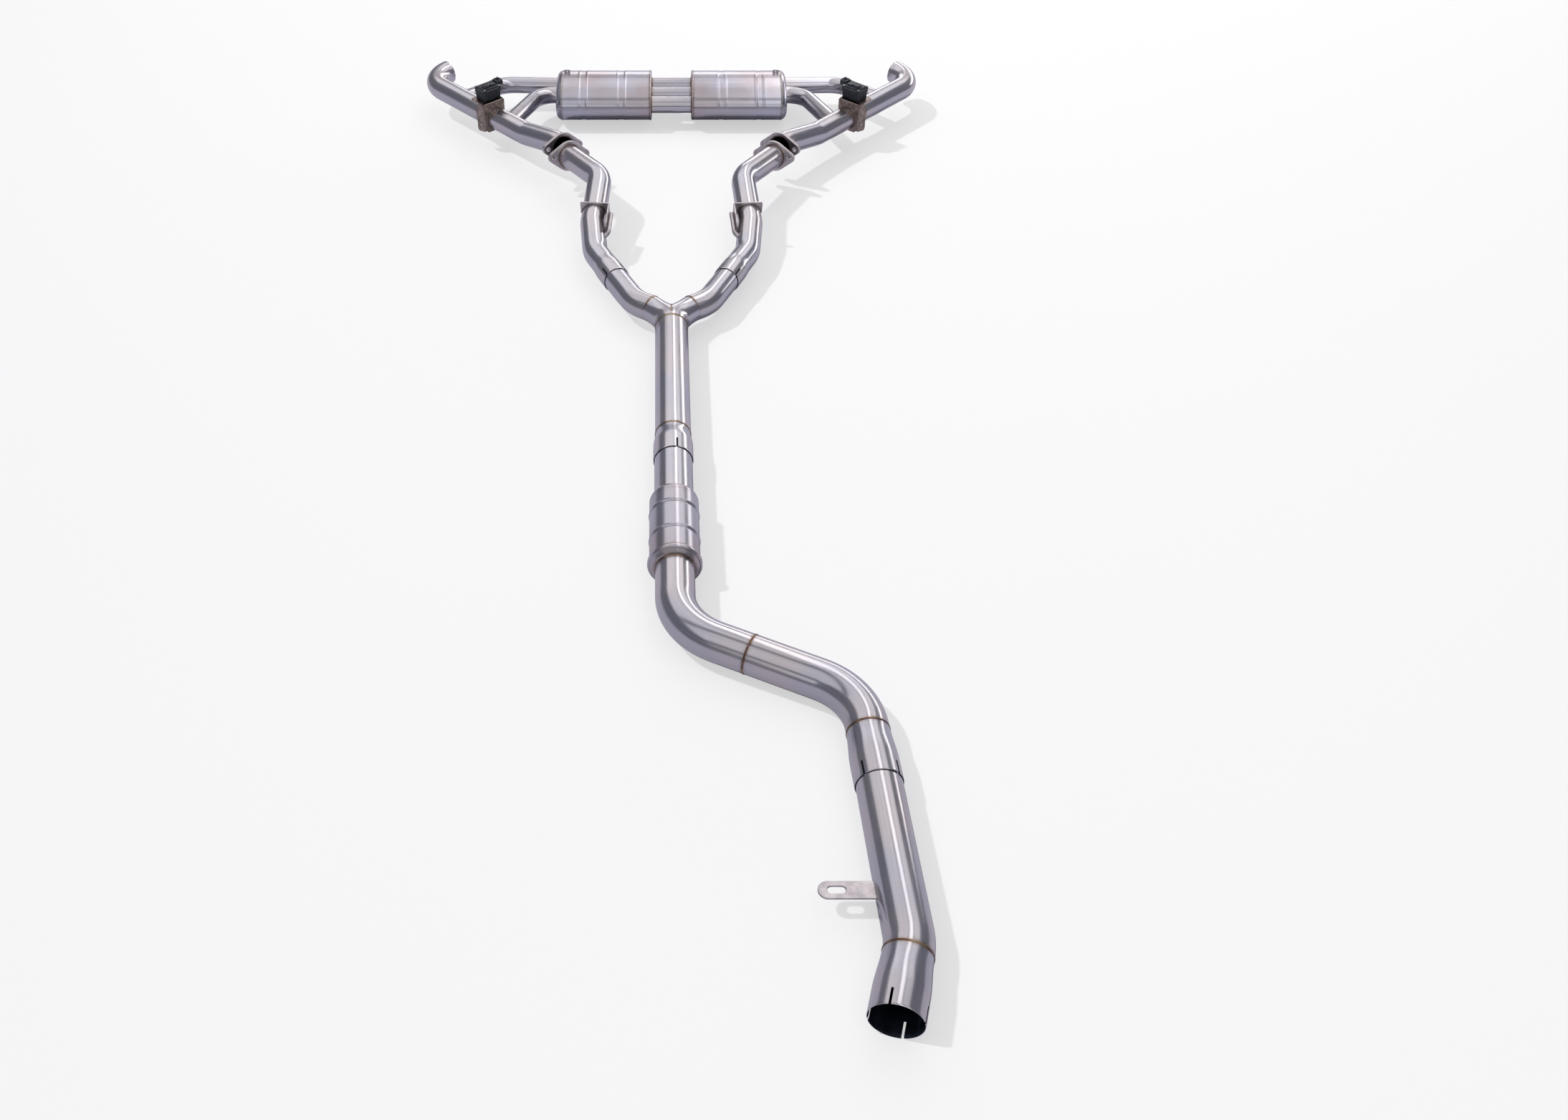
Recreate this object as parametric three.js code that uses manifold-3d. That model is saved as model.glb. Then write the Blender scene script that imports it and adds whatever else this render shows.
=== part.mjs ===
// Valved cat-back exhaust system: slotted inlet, front pipe, S-bend, resonator, Y-pipe, two mid pipes,
// two flanged rear pipes with butterfly valves, a twin muffler with crossover tubes and two tail pipes.
// Millimetres. +Y runs from the inlet to the tail pipes, +X to the right, +Z up.
// Every route point is [x, s, z], with s the distance behind the inlet end and x the distance from
// the middle of the car. The pieces with a left and a right copy are written for the right side.
import * as THREE from 'three';
import { mergeVertices } from 'three/addons/utils/BufferGeometryUtils.js';
import Module from 'manifold-3d';

const wasm = await Module();
wasm.setup();

// ---- Driving dimensions ------------------------------------------------------------------------
const wall = 1.5;
const gap = 0.3;
const slipFit = 0.4;
const sides = 12;
const bendStepDegrees = 20;

const inletSocketDiameter = 76.2;
const frontDiameter = 73;
const trunkDiameter = 70;
const twinDiameter = 57.2;
const muffledDiameter = 42.4;

const frontBendRadius = 120;
const inletBendRadius = 115;
const twinBendRadius = 86;
const muffledBendRadius = 62;
const hookRadius = 70;

const frontHeight = 40;
const legHeight = 50;
const valveHeight = 80;
const mufflerHeight = 61;

// Slip joints.
const socketLength = 58;
const slotWidth = 3;
const slotLength = 26;
const slotCount = 4;
const inletSlotDegrees = -18;
const jointSlotDegrees = 48;
const ySlotDegrees = 11;

// Resonator, along s.
const resonatorFront = 880;
const resonatorRear = 1070;
const resonatorDiameter = 91;
const capLength = 17;
const lipDiameter = 98;

// Y-pipe, along s.
const yMouth = 1184;
const yWeld = 1266;
const trunkEnd = 1690;

// Flanges.
const flangeThickness = 8;
const flangeHoleSpacing = 86;
const flangeHoleDiameter = 10.5;
const flangeHubRadius = 37;
const flangeEarRadius = 13;
const flangeRollDegrees = 8;

// Valve, bracket and actuator, measured from the pipe axis at the valve.
const valveBodyLength = 39.4;
const valveBodyRadius = 33;
const bossRadius = 9;
const shaftRadius = 4;
const shaftClearance = 0.6;
const flapRadius = 25.6;
const flapThickness = 2;
const shelfHeight = 43;
const sheet = 3;
const housingLength = 58;
const housingWidth = 46;
const housingHeight = 24;
const coverHeight = 11;
const gearTeeth = 18;
const gearPitchRadius = 15;

// Muffler cans.
const canInner = 53;
const canOuter = 305;
const canHalfDepth = 94;
const canHalfHeight = 54;
const canSides = 24;
const tubePitch = 58;
const canStation = 2750;

// ---- Route corners -----------------------------------------------------------------------------
const inletEnd = [298, 0, frontHeight];
const inletCorner = [331, 120, frontHeight];
const frontJoint = [317, 402, frontHeight];
const lowerCorner = [305, 590, frontHeight + 1];

// From the second S-bend to the merge everything lies on one line.
const mergePoint = [0, trunkEnd, legHeight];
const trunkLean = 0.0076;
const onTrunkLine = (s) => [(trunkEnd - s) * trunkLean, s, legHeight];
const upperCorner = onTrunkLine(734);
const resonatorIn = onTrunkLine(resonatorFront);
const resonatorOut = onTrunkLine(resonatorRear);
const yMouthPoint = onTrunkLine(yMouth);
const yWeldPoint = onTrunkLine(yWeld);

const legCorner = [80, 1744, legHeight];
const legJoint = [122, 1836, legHeight];
const midLowCorner = [174, 1950, legHeight + 3];
const hangerPoint = [183, 2046, 72];
const midHighCorner = [170, 2208, 104];
const midFlangeCentre = [252, 2343, 92];

const rearFlangeCentre = [269, 2376, 99];
const rearFlangeCorner = [287, 2403, 98];
const rearCorner = [368, 2486, valveHeight];
const hookCorner = [655, 2794, valveHeight];
const hookEnd = [603, 2845, valveHeight + 4];
const branchRoot = [418, 2540, valveHeight];
const branchCorner = [352, canStation, mufflerHeight];
const returnCorner = [452, canStation + tubePitch, mufflerHeight + 2];
const returnRoot = [550, 2681, valveHeight];
const valveShare = 0.35;

// ---- Materials ---------------------------------------------------------------------------------
const brushedSteel = () => new THREE.MeshStandardMaterial({ color: 0xb9b4b8, roughness: 0.32, metalness: 1 });
const castSteel = () => new THREE.MeshStandardMaterial({ color: 0x8a8078, roughness: 0.5, metalness: 1 });
const sheetSteel = () => new THREE.MeshStandardMaterial({ color: 0x9a9088, roughness: 0.4, metalness: 1 });
const shaftSteel = () => new THREE.MeshStandardMaterial({ color: 0x7d7a7a, roughness: 0.35, metalness: 1 });
const blackPlastic = () => new THREE.MeshStandardMaterial({ color: 0x24272d, roughness: 0.55, metalness: 0 });
const palePlastic = () => new THREE.MeshStandardMaterial({ color: 0xc9c4b4, roughness: 0.6, metalness: 0 });
const glassPacking = () => new THREE.MeshStandardMaterial({ color: 0xd8d2c0, roughness: 1, metalness: 0 });

// ---- Small geometry tools ----------------------------------------------------------------------
const up = new THREE.Vector3(0, 0, 1);
const vector = (point) => new THREE.Vector3(...point);
const between = (start, end, share) => vector(start).lerp(vector(end), share).toArray();
const directionOf = (start, end) => vector(end).sub(vector(start)).normalize();

// A point at a distance from start on the way to end.
function stepFrom(start, end, distance) {
  return vector(start).addScaledVector(directionOf(start, end), distance).toArray();
}

// The upward and sideways directions square to a direction.
function crossAxes(direction) {
  const upward = up.clone().addScaledVector(direction, -up.dot(direction)).normalize();
  const sideways = direction.clone().cross(upward);
  return { upward, sideways };
}

// A local frame on a pipe: +Y along the pipe, +Z upward and +X to the right of its direction.
function pipeFrame(origin, direction) {
  const { upward, sideways } = crossAxes(direction);
  return new THREE.Matrix4().makeBasis(sideways, direction, upward).setPosition(vector(origin));
}

// A route of straight runs and round bends through its corners. Stations stand only at the ends
// and along the bends, so a straight run is one step.
class PipeRoute extends THREE.Curve {
  constructor(points, bendRadius) {
    super();
    this.stations = [];
    const corners = points.map(vector);
    const last = corners.length - 1;
    this.stations.push({ point: corners[0], tangent: corners[1].clone().sub(corners[0]).normalize() });
    for (let i = 1; i < last; i += 1) this.addBend(corners[i - 1], corners[i], corners[i + 1], bendRadius);
    const tangent = corners[last].clone().sub(corners[last - 1]).normalize();
    this.stations.push({ point: corners[last], tangent });
  }

  addBend(before, corner, after, bendRadius) {
    const incoming = corner.clone().sub(before).normalize();
    const outgoing = after.clone().sub(corner).normalize();
    const turn = incoming.angleTo(outgoing);
    const start = corner.clone().addScaledVector(incoming, -bendRadius * Math.tan(turn / 2));
    const inward = outgoing.clone().addScaledVector(incoming, -outgoing.dot(incoming)).normalize();
    const steps = Math.ceil(THREE.MathUtils.radToDeg(turn) / bendStepDegrees);
    for (let i = 0; i <= steps; i += 1) {
      const angle = (turn * i) / steps;
      const point = start.clone().addScaledVector(incoming, bendRadius * Math.sin(angle));
      point.addScaledVector(inward, bendRadius * (1 - Math.cos(angle)));
      const tangent = incoming.clone().multiplyScalar(Math.cos(angle)).addScaledVector(inward, Math.sin(angle));
      this.stations.push({ point, tangent });
    }
  }

  getSpacedPoints() {
    return this.stations.map((station) => station.point);
  }

  computeFrenetFrames() {
    const tangents = this.stations.map((station) => station.tangent);
    const normals = tangents.map((tangent) => crossAxes(tangent).upward);
    const binormals = tangents.map((tangent, i) => tangent.clone().cross(normals[i]));
    return { tangents, normals, binormals };
  }
}

// A round outline with a corner on its first axis.
function ring(radius, count = sides) {
  const points = [];
  for (let i = 0; i < count; i += 1) {
    const angle = (2 * Math.PI * i) / count;
    points.push(new THREE.Vector2(radius * Math.cos(angle), radius * Math.sin(angle)));
  }
  return points;
}

// A closed solid, with its faces turned outward whichever way its outline runs.
function solid(geometry, matrix = new THREE.Matrix4()) {
  const placed = geometry.clone().applyMatrix4(matrix);
  placed.deleteAttribute('normal');
  placed.deleteAttribute('uv');
  const merged = mergeVertices(placed, 1e-3);
  const positions = merged.getAttribute('position');
  const triangles = [];
  let volume = 0;
  for (let i = 0; i < merged.index.count; i += 3) {
    const corner = [merged.index.getX(i), merged.index.getX(i + 1), merged.index.getX(i + 2)];
    if (new Set(corner).size < 3) continue;
    const [a, b, c] = corner.map((index) => new THREE.Vector3().fromBufferAttribute(positions, index));
    volume += a.dot(b.clone().cross(c));
    triangles.push(corner);
  }
  if (volume < 0) triangles.forEach((corner) => corner.reverse());
  const vertProperties = new Float32Array(positions.array);
  const triVerts = new Uint32Array(triangles.flat());
  return new wasm.Manifold(new wasm.Mesh({ numProp: 3, vertProperties, triVerts }));
}

function extruded(outline, holes, depth, matrix) {
  const shape = new THREE.Shape(outline);
  holes.forEach((hole) => shape.holes.push(new THREE.Path(hole)));
  return solid(new THREE.ExtrudeGeometry(shape, { depth, bevelEnabled: false }), matrix);
}

function swept(points, bendRadius, outline, holes = []) {
  const route = new PipeRoute(points, bendRadius);
  const shape = new THREE.Shape(outline);
  holes.forEach((hole) => shape.holes.push(new THREE.Path(hole)));
  return solid(new THREE.ExtrudeGeometry(shape, { steps: route.stations.length - 1, extrudePath: route }));
}

// A hollow pipe and a solid rod along a route.
function pipe(points, bendRadius, diameter) {
  return swept(points, bendRadius, ring(diameter / 2), [ring(diameter / 2 - wall)]);
}

function rod(points, bendRadius, radius, count = sides) {
  return swept(points, bendRadius, ring(radius, count));
}

// A turned solid: the profile is [radius, distance along the axis].
function turned(profile, frame, count = sides) {
  const points = profile.map(([radius, along]) => new THREE.Vector2(radius, along));
  return solid(new THREE.LatheGeometry(points, count), frame);
}

// A plain cylinder along the frame's +Y, from one distance to another.
function cylinder(radius, from, to, frame) {
  return turned([[0, from], [radius, from], [radius, to], [0, to]], frame);
}

// A turned ring, whose closed profile returns to its first point.
function turnedRing(profile, frame, count = sides) {
  return turned([...profile, profile[0]], frame, count);
}

function block(size, centre, frame = new THREE.Matrix4()) {
  const geometry = new THREE.BoxGeometry(...size);
  geometry.translate(...centre);
  return solid(geometry, frame);
}

function minus(body, ...cutters) {
  return cutters.reduce((left, cutter) => left.subtract(cutter), body);
}

function plus(body, ...others) {
  return others.reduce((joined, other) => joined.add(other), body);
}

// Both ends of a route pulled in by half a weld gap, so butted pipes never touch.
function trimmed(points) {
  const result = [...points];
  const last = points.length - 1;
  result[0] = stepFrom(points[0], points[1], gap / 2);
  result[last] = stepFrom(points[last], points[last - 1], gap / 2);
  return result;
}

// The slots of a slip joint, cut from its mouth inward along the frame's +Y. The first slot stands
// firstDegrees to the right of the top.
function slots(frame, radius, firstDegrees) {
  const cutters = [];
  for (let i = 0; i < slotCount; i += 1) {
    const angle = THREE.MathUtils.degToRad(firstDegrees) + (2 * i * Math.PI) / slotCount;
    const turn = new THREE.Matrix4().makeRotationY(angle);
    const placed = frame.clone().multiply(turn);
    cutters.push(block([slotWidth, 2 * slotLength, radius], [0, 0, radius], placed));
  }
  return cutters;
}

// A slotted socket that takes a pipe in its mouth and narrows to another pipe at its rear.
function socket(mouth, rear, innerPipe, rearDiameter, firstSlotDegrees) {
  const frame = pipeFrame(mouth, directionOf(mouth, rear));
  const length = vector(mouth).distanceTo(vector(rear)) - gap / 2;
  const bore = innerPipe / 2 + slipFit;
  const rearRadius = rearDiameter / 2;
  const taper = 10;
  const body = turnedRing([
    [bore + wall, 0],
    [bore + wall, socketLength],
    [rearRadius, socketLength + taper],
    [rearRadius, length],
    [rearRadius - wall, length],
    [rearRadius - wall, socketLength + taper],
    [bore, socketLength],
    [bore, 0],
  ], frame);
  return minus(body, ...slots(frame, bore + wall, firstSlotDegrees));
}

// ---- The group ---------------------------------------------------------------------------------
const group = new THREE.Group();

function add(name, body, material, mirrored = false) {
  const shape = mirrored ? body.mirror([1, 0, 0]) : body;
  const { vertProperties, triVerts, numProp } = shape.getMesh();
  if (numProp !== 3) throw new Error(`${name} carries more than positions`);
  const geometry = new THREE.BufferGeometry();
  geometry.setAttribute('position', new THREE.BufferAttribute(new Float32Array(vertProperties), 3));
  geometry.setIndex(new THREE.BufferAttribute(new Uint32Array(triVerts), 1));
  geometry.computeVertexNormals();
  const mesh = new THREE.Mesh(geometry, material);
  mesh.name = name;
  group.add(mesh);
}

function addPair(name, body, material) {
  add(`${name}_right`, body, material());
  add(`${name}_left`, body, material(), true);
}

// ---- Front half: one pipe ----------------------------------------------------------------------
const inletWeld = stepFrom(inletEnd, inletCorner, 105);
const jointWeld = between(frontJoint, lowerCorner, 0.56);
const diagonalWeld = between(lowerCorner, upperCorner, 0.585);
const slipDepth = 44;

function buildInletCollar() {
  const body = socket(inletEnd, inletWeld, inletSocketDiameter, frontDiameter, inletSlotDegrees);
  add('inlet_collar', body, brushedSteel());
}

function buildFrontPipe() {
  const insideJoint = stepFrom(frontJoint, jointWeld, slipDepth);
  const route = [stepFrom(inletWeld, inletCorner, gap / 2), inletCorner, frontJoint, insideJoint];
  add('front_pipe', pipe(route, inletBendRadius, frontDiameter), brushedSteel());
}

// A flat slotted tab with one round end, standing out to the left of the front pipe.
function buildFrontHangerTab() {
  const share = 0.31;
  const root = between(inletCorner, frontJoint, share);
  const tabLength = 118;
  const tabHalfWidth = 15;
  const tabThickness = 4;
  const slotHalfWidth = 6.5;
  const slotHalfTravel = 7;
  const slotCentre = tabLength - 27;
  const outline = new THREE.Shape();
  outline.moveTo(0, -tabHalfWidth);
  outline.lineTo(tabLength - tabHalfWidth, -tabHalfWidth);
  outline.absarc(tabLength - tabHalfWidth, 0, tabHalfWidth, -Math.PI / 2, Math.PI / 2);
  outline.lineTo(0, tabHalfWidth);
  const slot = new THREE.Path();
  slot.absarc(slotCentre + slotHalfTravel, 0, slotHalfWidth, -Math.PI / 2, Math.PI / 2);
  slot.absarc(slotCentre - slotHalfTravel, 0, slotHalfWidth, Math.PI / 2, (3 * Math.PI) / 2);
  outline.holes.push(slot);
  const options = { depth: tabThickness, bevelEnabled: false, curveSegments: 8 };
  const geometry = new THREE.ExtrudeGeometry(outline, options);
  const placed = new THREE.Matrix4().makeRotationZ(Math.PI).setPosition(root[0], root[1], root[2]);
  const pipeBody = rod([inletCorner, frontJoint], frontBendRadius, frontDiameter / 2 + gap);
  add('front_hanger_tab', minus(solid(geometry, placed), pipeBody), sheetSteel());
}

function buildSPipe() {
  const collar = socket(frontJoint, jointWeld, frontDiameter, trunkDiameter, jointSlotDegrees);
  add('joint_collar', collar, brushedSteel());
  const lower = trimmed([jointWeld, lowerCorner, diagonalWeld]);
  const upper = trimmed([diagonalWeld, upperCorner, resonatorIn]);
  add('s_pipe_lower', pipe(lower, frontBendRadius, trunkDiameter), brushedSteel());
  add('s_pipe_upper', pipe(upper, frontBendRadius, trunkDiameter), brushedSteel());
}

// ---- Resonator ---------------------------------------------------------------------------------
function buildResonator() {
  const frame = pipeFrame(resonatorIn, directionOf(resonatorIn, resonatorOut));
  const length = vector(resonatorIn).distanceTo(vector(resonatorOut));
  const shellRadius = resonatorDiameter / 2;
  const lipRadius = lipDiameter / 2;
  const pipeRadius = trunkDiameter / 2;
  const neckRadius = frontDiameter / 2;
  const shellStart = capLength + gap;
  const shellEnd = length - capLength;

  add('resonator_front_cap', turnedRing([
    [pipeRadius, gap / 2],
    [lipRadius - 4, 5],
    [lipRadius, 10],
    [lipRadius, capLength],
    [pipeRadius - wall, capLength],
    [pipeRadius - wall, gap / 2],
  ], frame), brushedSteel());

  add('resonator_shell', turnedRing([
    [shellRadius, shellStart],
    [shellRadius, shellEnd],
    [shellRadius - wall, shellEnd],
    [shellRadius - wall, shellStart],
  ], frame), brushedSteel());

  add('resonator_rear_cap', turnedRing([
    [shellRadius, shellEnd + gap],
    [shellRadius, length - 8],
    [neckRadius + 4, length - 2],
    [neckRadius + gap, length],
    [neckRadius + gap, length - 5],
    [neckRadius + gap, shellEnd + gap],
  ], frame), brushedSteel());

  const neckStart = length - capLength - 12;
  const neckEnd = vector(resonatorIn).distanceTo(vector(yMouthPoint)) + slipDepth;
  add('resonator_outlet', turnedRing([
    [neckRadius, neckStart],
    [neckRadius, neckEnd],
    [neckRadius - wall, neckEnd],
    [neckRadius - wall, neckStart],
  ], frame), brushedSteel());

  const coreRadius = pipeRadius;
  const coreStart = shellStart;
  const coreEnd = neckStart - gap;
  add('resonator_core', turnedRing([
    [coreRadius, coreStart],
    [coreRadius, coreEnd],
    [coreRadius - wall, coreEnd],
    [coreRadius - wall, coreStart],
  ], frame), sheetSteel());

  add('resonator_packing', turnedRing([
    [shellRadius - wall - gap, coreStart],
    [shellRadius - wall - gap, coreEnd],
    [coreRadius + gap, coreEnd],
    [coreRadius + gap, coreStart],
  ], frame), glassPacking());
}

// ---- Y-pipe ------------------------------------------------------------------------------------
const legWeld = stepFrom(mergePoint, legCorner, 52);
const trunkWeld = stepFrom(mergePoint, yWeldPoint, 46);

function buildCollector() {
  const beyond = 20;
  const shapeOf = (trunkRadius, legRadius, extra) => {
    const trunkEndPoint = stepFrom(trunkWeld, yWeldPoint, extra - gap / 2);
    const legEndPoint = stepFrom(legWeld, legCorner, extra - gap / 2);
    const trunk = rod([trunkEndPoint, mergePoint, [0, trunkEnd + 12, legHeight]], twinBendRadius, trunkRadius);
    const leg = rod([mergePoint, legEndPoint], twinBendRadius, legRadius);
    return plus(trunk, leg, leg.mirror([1, 0, 0]));
  };
  const outside = shapeOf(trunkDiameter / 2, twinDiameter / 2, 0);
  const inside = shapeOf(trunkDiameter / 2 - wall, twinDiameter / 2 - wall, beyond);
  add('y_collector', minus(outside, inside), brushedSteel());
}

function buildYPipe() {
  add('y_collar', socket(yMouthPoint, yWeldPoint, frontDiameter, trunkDiameter, ySlotDegrees), brushedSteel());
  add('y_trunk', pipe(trimmed([yWeldPoint, trunkWeld]), frontBendRadius, trunkDiameter), brushedSteel());
  buildCollector();
  const insideJoint = stepFrom(legJoint, midLowCorner, slipDepth);
  const leg = [stepFrom(legWeld, legCorner, gap / 2), legCorner, legJoint, insideJoint];
  addPair('y_leg', pipe(leg, twinBendRadius, twinDiameter), brushedSteel);
}

// ---- Mid pipes ---------------------------------------------------------------------------------
const midSocketRear = stepFrom(legJoint, midLowCorner, socketLength + 14);
const hangerWeld = stepFrom(hangerPoint, midHighCorner, 40);

function buildMidPipes() {
  const reach = socketLength + 14;
  const frame = pipeFrame(legJoint, directionOf(legJoint, midLowCorner));
  const bore = twinDiameter / 2 + slipFit;
  const mouthRadius = bore + wall;
  const pipeRadius = twinDiameter / 2;
  const outerMouth = turned(
    [[0, 0], [mouthRadius, 0], [mouthRadius, socketLength], [pipeRadius, reach], [0, reach]], frame);
  const innerMouth = turned(
    [[0, -1], [bore, -1], [bore, socketLength], [pipeRadius - wall, reach], [0, reach]], frame);
  const start = stepFrom(midSocketRear, legJoint, 4);
  const route = [start, midLowCorner, hangerPoint, stepFrom(hangerWeld, hangerPoint, gap / 2)];
  const beyond = [start, midLowCorner, hangerPoint, stepFrom(hangerWeld, midHighCorner, 20)];
  const outer = plus(outerMouth, rod(route, twinBendRadius, pipeRadius));
  const inner = plus(innerMouth, rod(beyond, twinBendRadius, pipeRadius - wall));
  addPair('mid_pipe_lower', minus(outer, inner, ...slots(frame, mouthRadius, jointSlotDegrees)), brushedSteel);

  const flangeInside = stepFrom(midFlangeCentre, midHighCorner, -flangeThickness / 2);
  const upper = [stepFrom(hangerWeld, midHighCorner, gap / 2), midHighCorner, flangeInside];
  addPair('mid_pipe_upper', pipe(upper, twinBendRadius, twinDiameter), brushedSteel);
}

// A saddle plate square across the pipe, with one side folded forward along the pipe's inner side.
function buildMidHangers() {
  const frame = pipeFrame(stepFrom(hangerWeld, hangerPoint, 5), directionOf(hangerPoint, hangerWeld));
  const outerReach = 31;
  const innerReach = 37;
  const plateBottom = 2;
  const plateTop = 34;
  const sideLength = 74;
  const sideHeight = 30;
  const pipeRadius = twinDiameter / 2 + gap;
  const across = block(
    [innerReach + outerReach, sheet, plateTop - plateBottom],
    [(outerReach - innerReach) / 2, 0, (plateTop + plateBottom) / 2], frame);
  const folded = block(
    [sheet, sideLength, sideHeight],
    [-innerReach + sheet / 2, -sideLength / 2 + sheet / 2, plateTop - sideHeight / 2], frame);
  const pipeBody = rod([midSocketRear, midLowCorner, hangerPoint, midHighCorner], twinBendRadius, pipeRadius);
  addPair('mid_hanger_bracket', minus(plus(across, folded), pipeBody), sheetSteel);

  const rodRadius = 5;
  const rodSide = -innerReach - rodRadius - gap;
  const local = [[rodSide, -12, 14], [rodSide, -82, 14], [rodSide + 24, -100, 0]];
  const placed = local.map((point) => vector(point).applyMatrix4(frame).toArray());
  addPair('mid_hanger_rod', minus(rod(placed, 10, rodRadius, 10), pipeBody), sheetSteel);
}

// ---- Flanges -----------------------------------------------------------------------------------
// The lozenge is a hub circle and two ear circles with straight tangents between them.
function lozenge() {
  const earCentre = flangeHoleSpacing / 2;
  const lean = Math.acos((flangeHubRadius - flangeEarRadius) / earCentre);
  const points = [];
  const arc = (centreX, radius, from, to, steps) => {
    for (let i = 0; i <= steps; i += 1) {
      const angle = from + ((to - from) * i) / steps;
      points.push(new THREE.Vector2(centreX + radius * Math.cos(angle), radius * Math.sin(angle)));
    }
  };
  arc(earCentre, flangeEarRadius, -lean, lean, 6);
  arc(0, flangeHubRadius, lean, Math.PI - lean, 5);
  arc(-earCentre, flangeEarRadius, Math.PI - lean, Math.PI + lean, 6);
  arc(0, flangeHubRadius, Math.PI + lean, 2 * Math.PI - lean, 5);
  return points;
}

function flange(centre, direction) {
  const lie = new THREE.Matrix4().makeRotationX(Math.PI / 2);
  const roll = new THREE.Matrix4().makeRotationY(THREE.MathUtils.degToRad(-flangeRollDegrees));
  const centred = new THREE.Matrix4().makeTranslation(0, flangeThickness / 2, 0);
  const hole = (x) => ring(flangeHoleDiameter / 2, 12).map((point) => point.add(new THREE.Vector2(x, 0)));
  const holes = [hole(flangeHoleSpacing / 2), hole(-flangeHoleSpacing / 2)];
  const matrix = pipeFrame(centre, direction).multiply(roll).multiply(centred).multiply(lie);
  const plate = extruded(lozenge(), holes, flangeThickness, matrix);
  const reach = direction.clone().multiplyScalar(2 * flangeThickness);
  const from = vector(centre).sub(reach).toArray();
  const to = vector(centre).add(reach).toArray();
  return minus(plate, rod([from, to], twinBendRadius, twinDiameter / 2 + gap));
}

const midFlangeDirection = directionOf(midHighCorner, midFlangeCentre);
const rearFlangeDirection = directionOf(rearFlangeCentre, rearFlangeCorner);

function buildFlanges() {
  addPair('mid_flange', flange(midFlangeCentre, midFlangeDirection), castSteel);
  addPair('rear_flange', flange(rearFlangeCentre, rearFlangeDirection), castSteel);
}

// ---- Rear pipes --------------------------------------------------------------------------------
const valveDirection = directionOf(rearCorner, hookCorner);
const valveCentre = between(rearCorner, hookCorner, valveShare);
const valveFrame = pipeFrame(valveCentre, valveDirection);
const valveInlet = vector(valveCentre).addScaledVector(valveDirection, -valveBodyLength / 2).toArray();
const valveOutlet = vector(valveCentre).addScaledVector(valveDirection, valveBodyLength / 2).toArray();

function buildRearPipes() {
  const pipeRadius = twinDiameter / 2;
  const rearStart = stepFrom(rearFlangeCentre, rearFlangeCorner, -flangeThickness / 2);
  const rearRoute = [rearStart, rearFlangeCorner, rearCorner, stepFrom(valveInlet, rearCorner, gap)];
  const tailRoute = [stepFrom(valveOutlet, hookCorner, gap), hookCorner, hookEnd];

  const canEntry = canOuter - 6;
  const branchRoute = [[canEntry, canStation, mufflerHeight], branchCorner, branchRoot];
  const returnRoute = [[canEntry, canStation + tubePitch, mufflerHeight], returnCorner, returnRoot];
  const branchBore = rod(branchRoute, muffledBendRadius, muffledDiameter / 2 - wall);
  const returnBore = rod(returnRoute, muffledBendRadius, muffledDiameter / 2 - wall);
  const rearBody = rod(rearRoute, twinBendRadius, pipeRadius + gap);
  const tailBody = rod(tailRoute, hookRadius, pipeRadius + gap);

  addPair('rear_pipe', minus(pipe(rearRoute, twinBendRadius, twinDiameter), branchBore), brushedSteel);
  addPair('tail_pipe', minus(pipe(tailRoute, hookRadius, twinDiameter), returnBore), brushedSteel);
  addPair('branch_pipe', minus(pipe(branchRoute, muffledBendRadius, muffledDiameter), rearBody), brushedSteel);
  addPair('return_pipe', minus(pipe(returnRoute, muffledBendRadius, muffledDiameter), tailBody), brushedSteel);
}

// ---- Valves ------------------------------------------------------------------------------------
// A turn that points a lathe's +Y axis upward in the valve frame.
const upright = valveFrame.clone().multiply(new THREE.Matrix4().makeRotationX(Math.PI / 2));
const bossTop = 42;
const bossBottom = -40;
const shaftTop = shelfHeight + sheet + 16;
const shaftBottom = bossBottom + 3;

function buildValveBodies() {
  const half = valveBodyLength / 2;
  const boreRadius = twinDiameter / 2 - wall;
  const boss = cylinder(bossRadius, bossBottom, bossTop, upright);
  const barrel = cylinder(valveBodyRadius, -half, half, valveFrame);
  const bore = cylinder(boreRadius, -half - 1, half + 1, valveFrame);
  const shaftHole = cylinder(shaftRadius + shaftClearance, shaftBottom - gap, bossTop + 1, upright);
  addPair('valve_body', minus(plus(barrel, boss), bore, shaftHole), castSteel);
}

// The shaft is split by a slot that the flap sits in.
function buildShaftAndFlap() {
  const shaft = cylinder(shaftRadius, shaftBottom, shaftTop, upright);
  const slotSpan = 2 * (flapRadius + gap);
  const slot = block([4 * shaftRadius, flapThickness + 2 * gap, slotSpan], [0, 0, 0], valveFrame);
  addPair('valve_shaft', minus(shaft, slot), shaftSteel);
  const half = flapThickness / 2;
  const flap = cylinder(flapRadius, -half, half, valveFrame);
  addPair('valve_flap', flap, shaftSteel);
}

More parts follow.
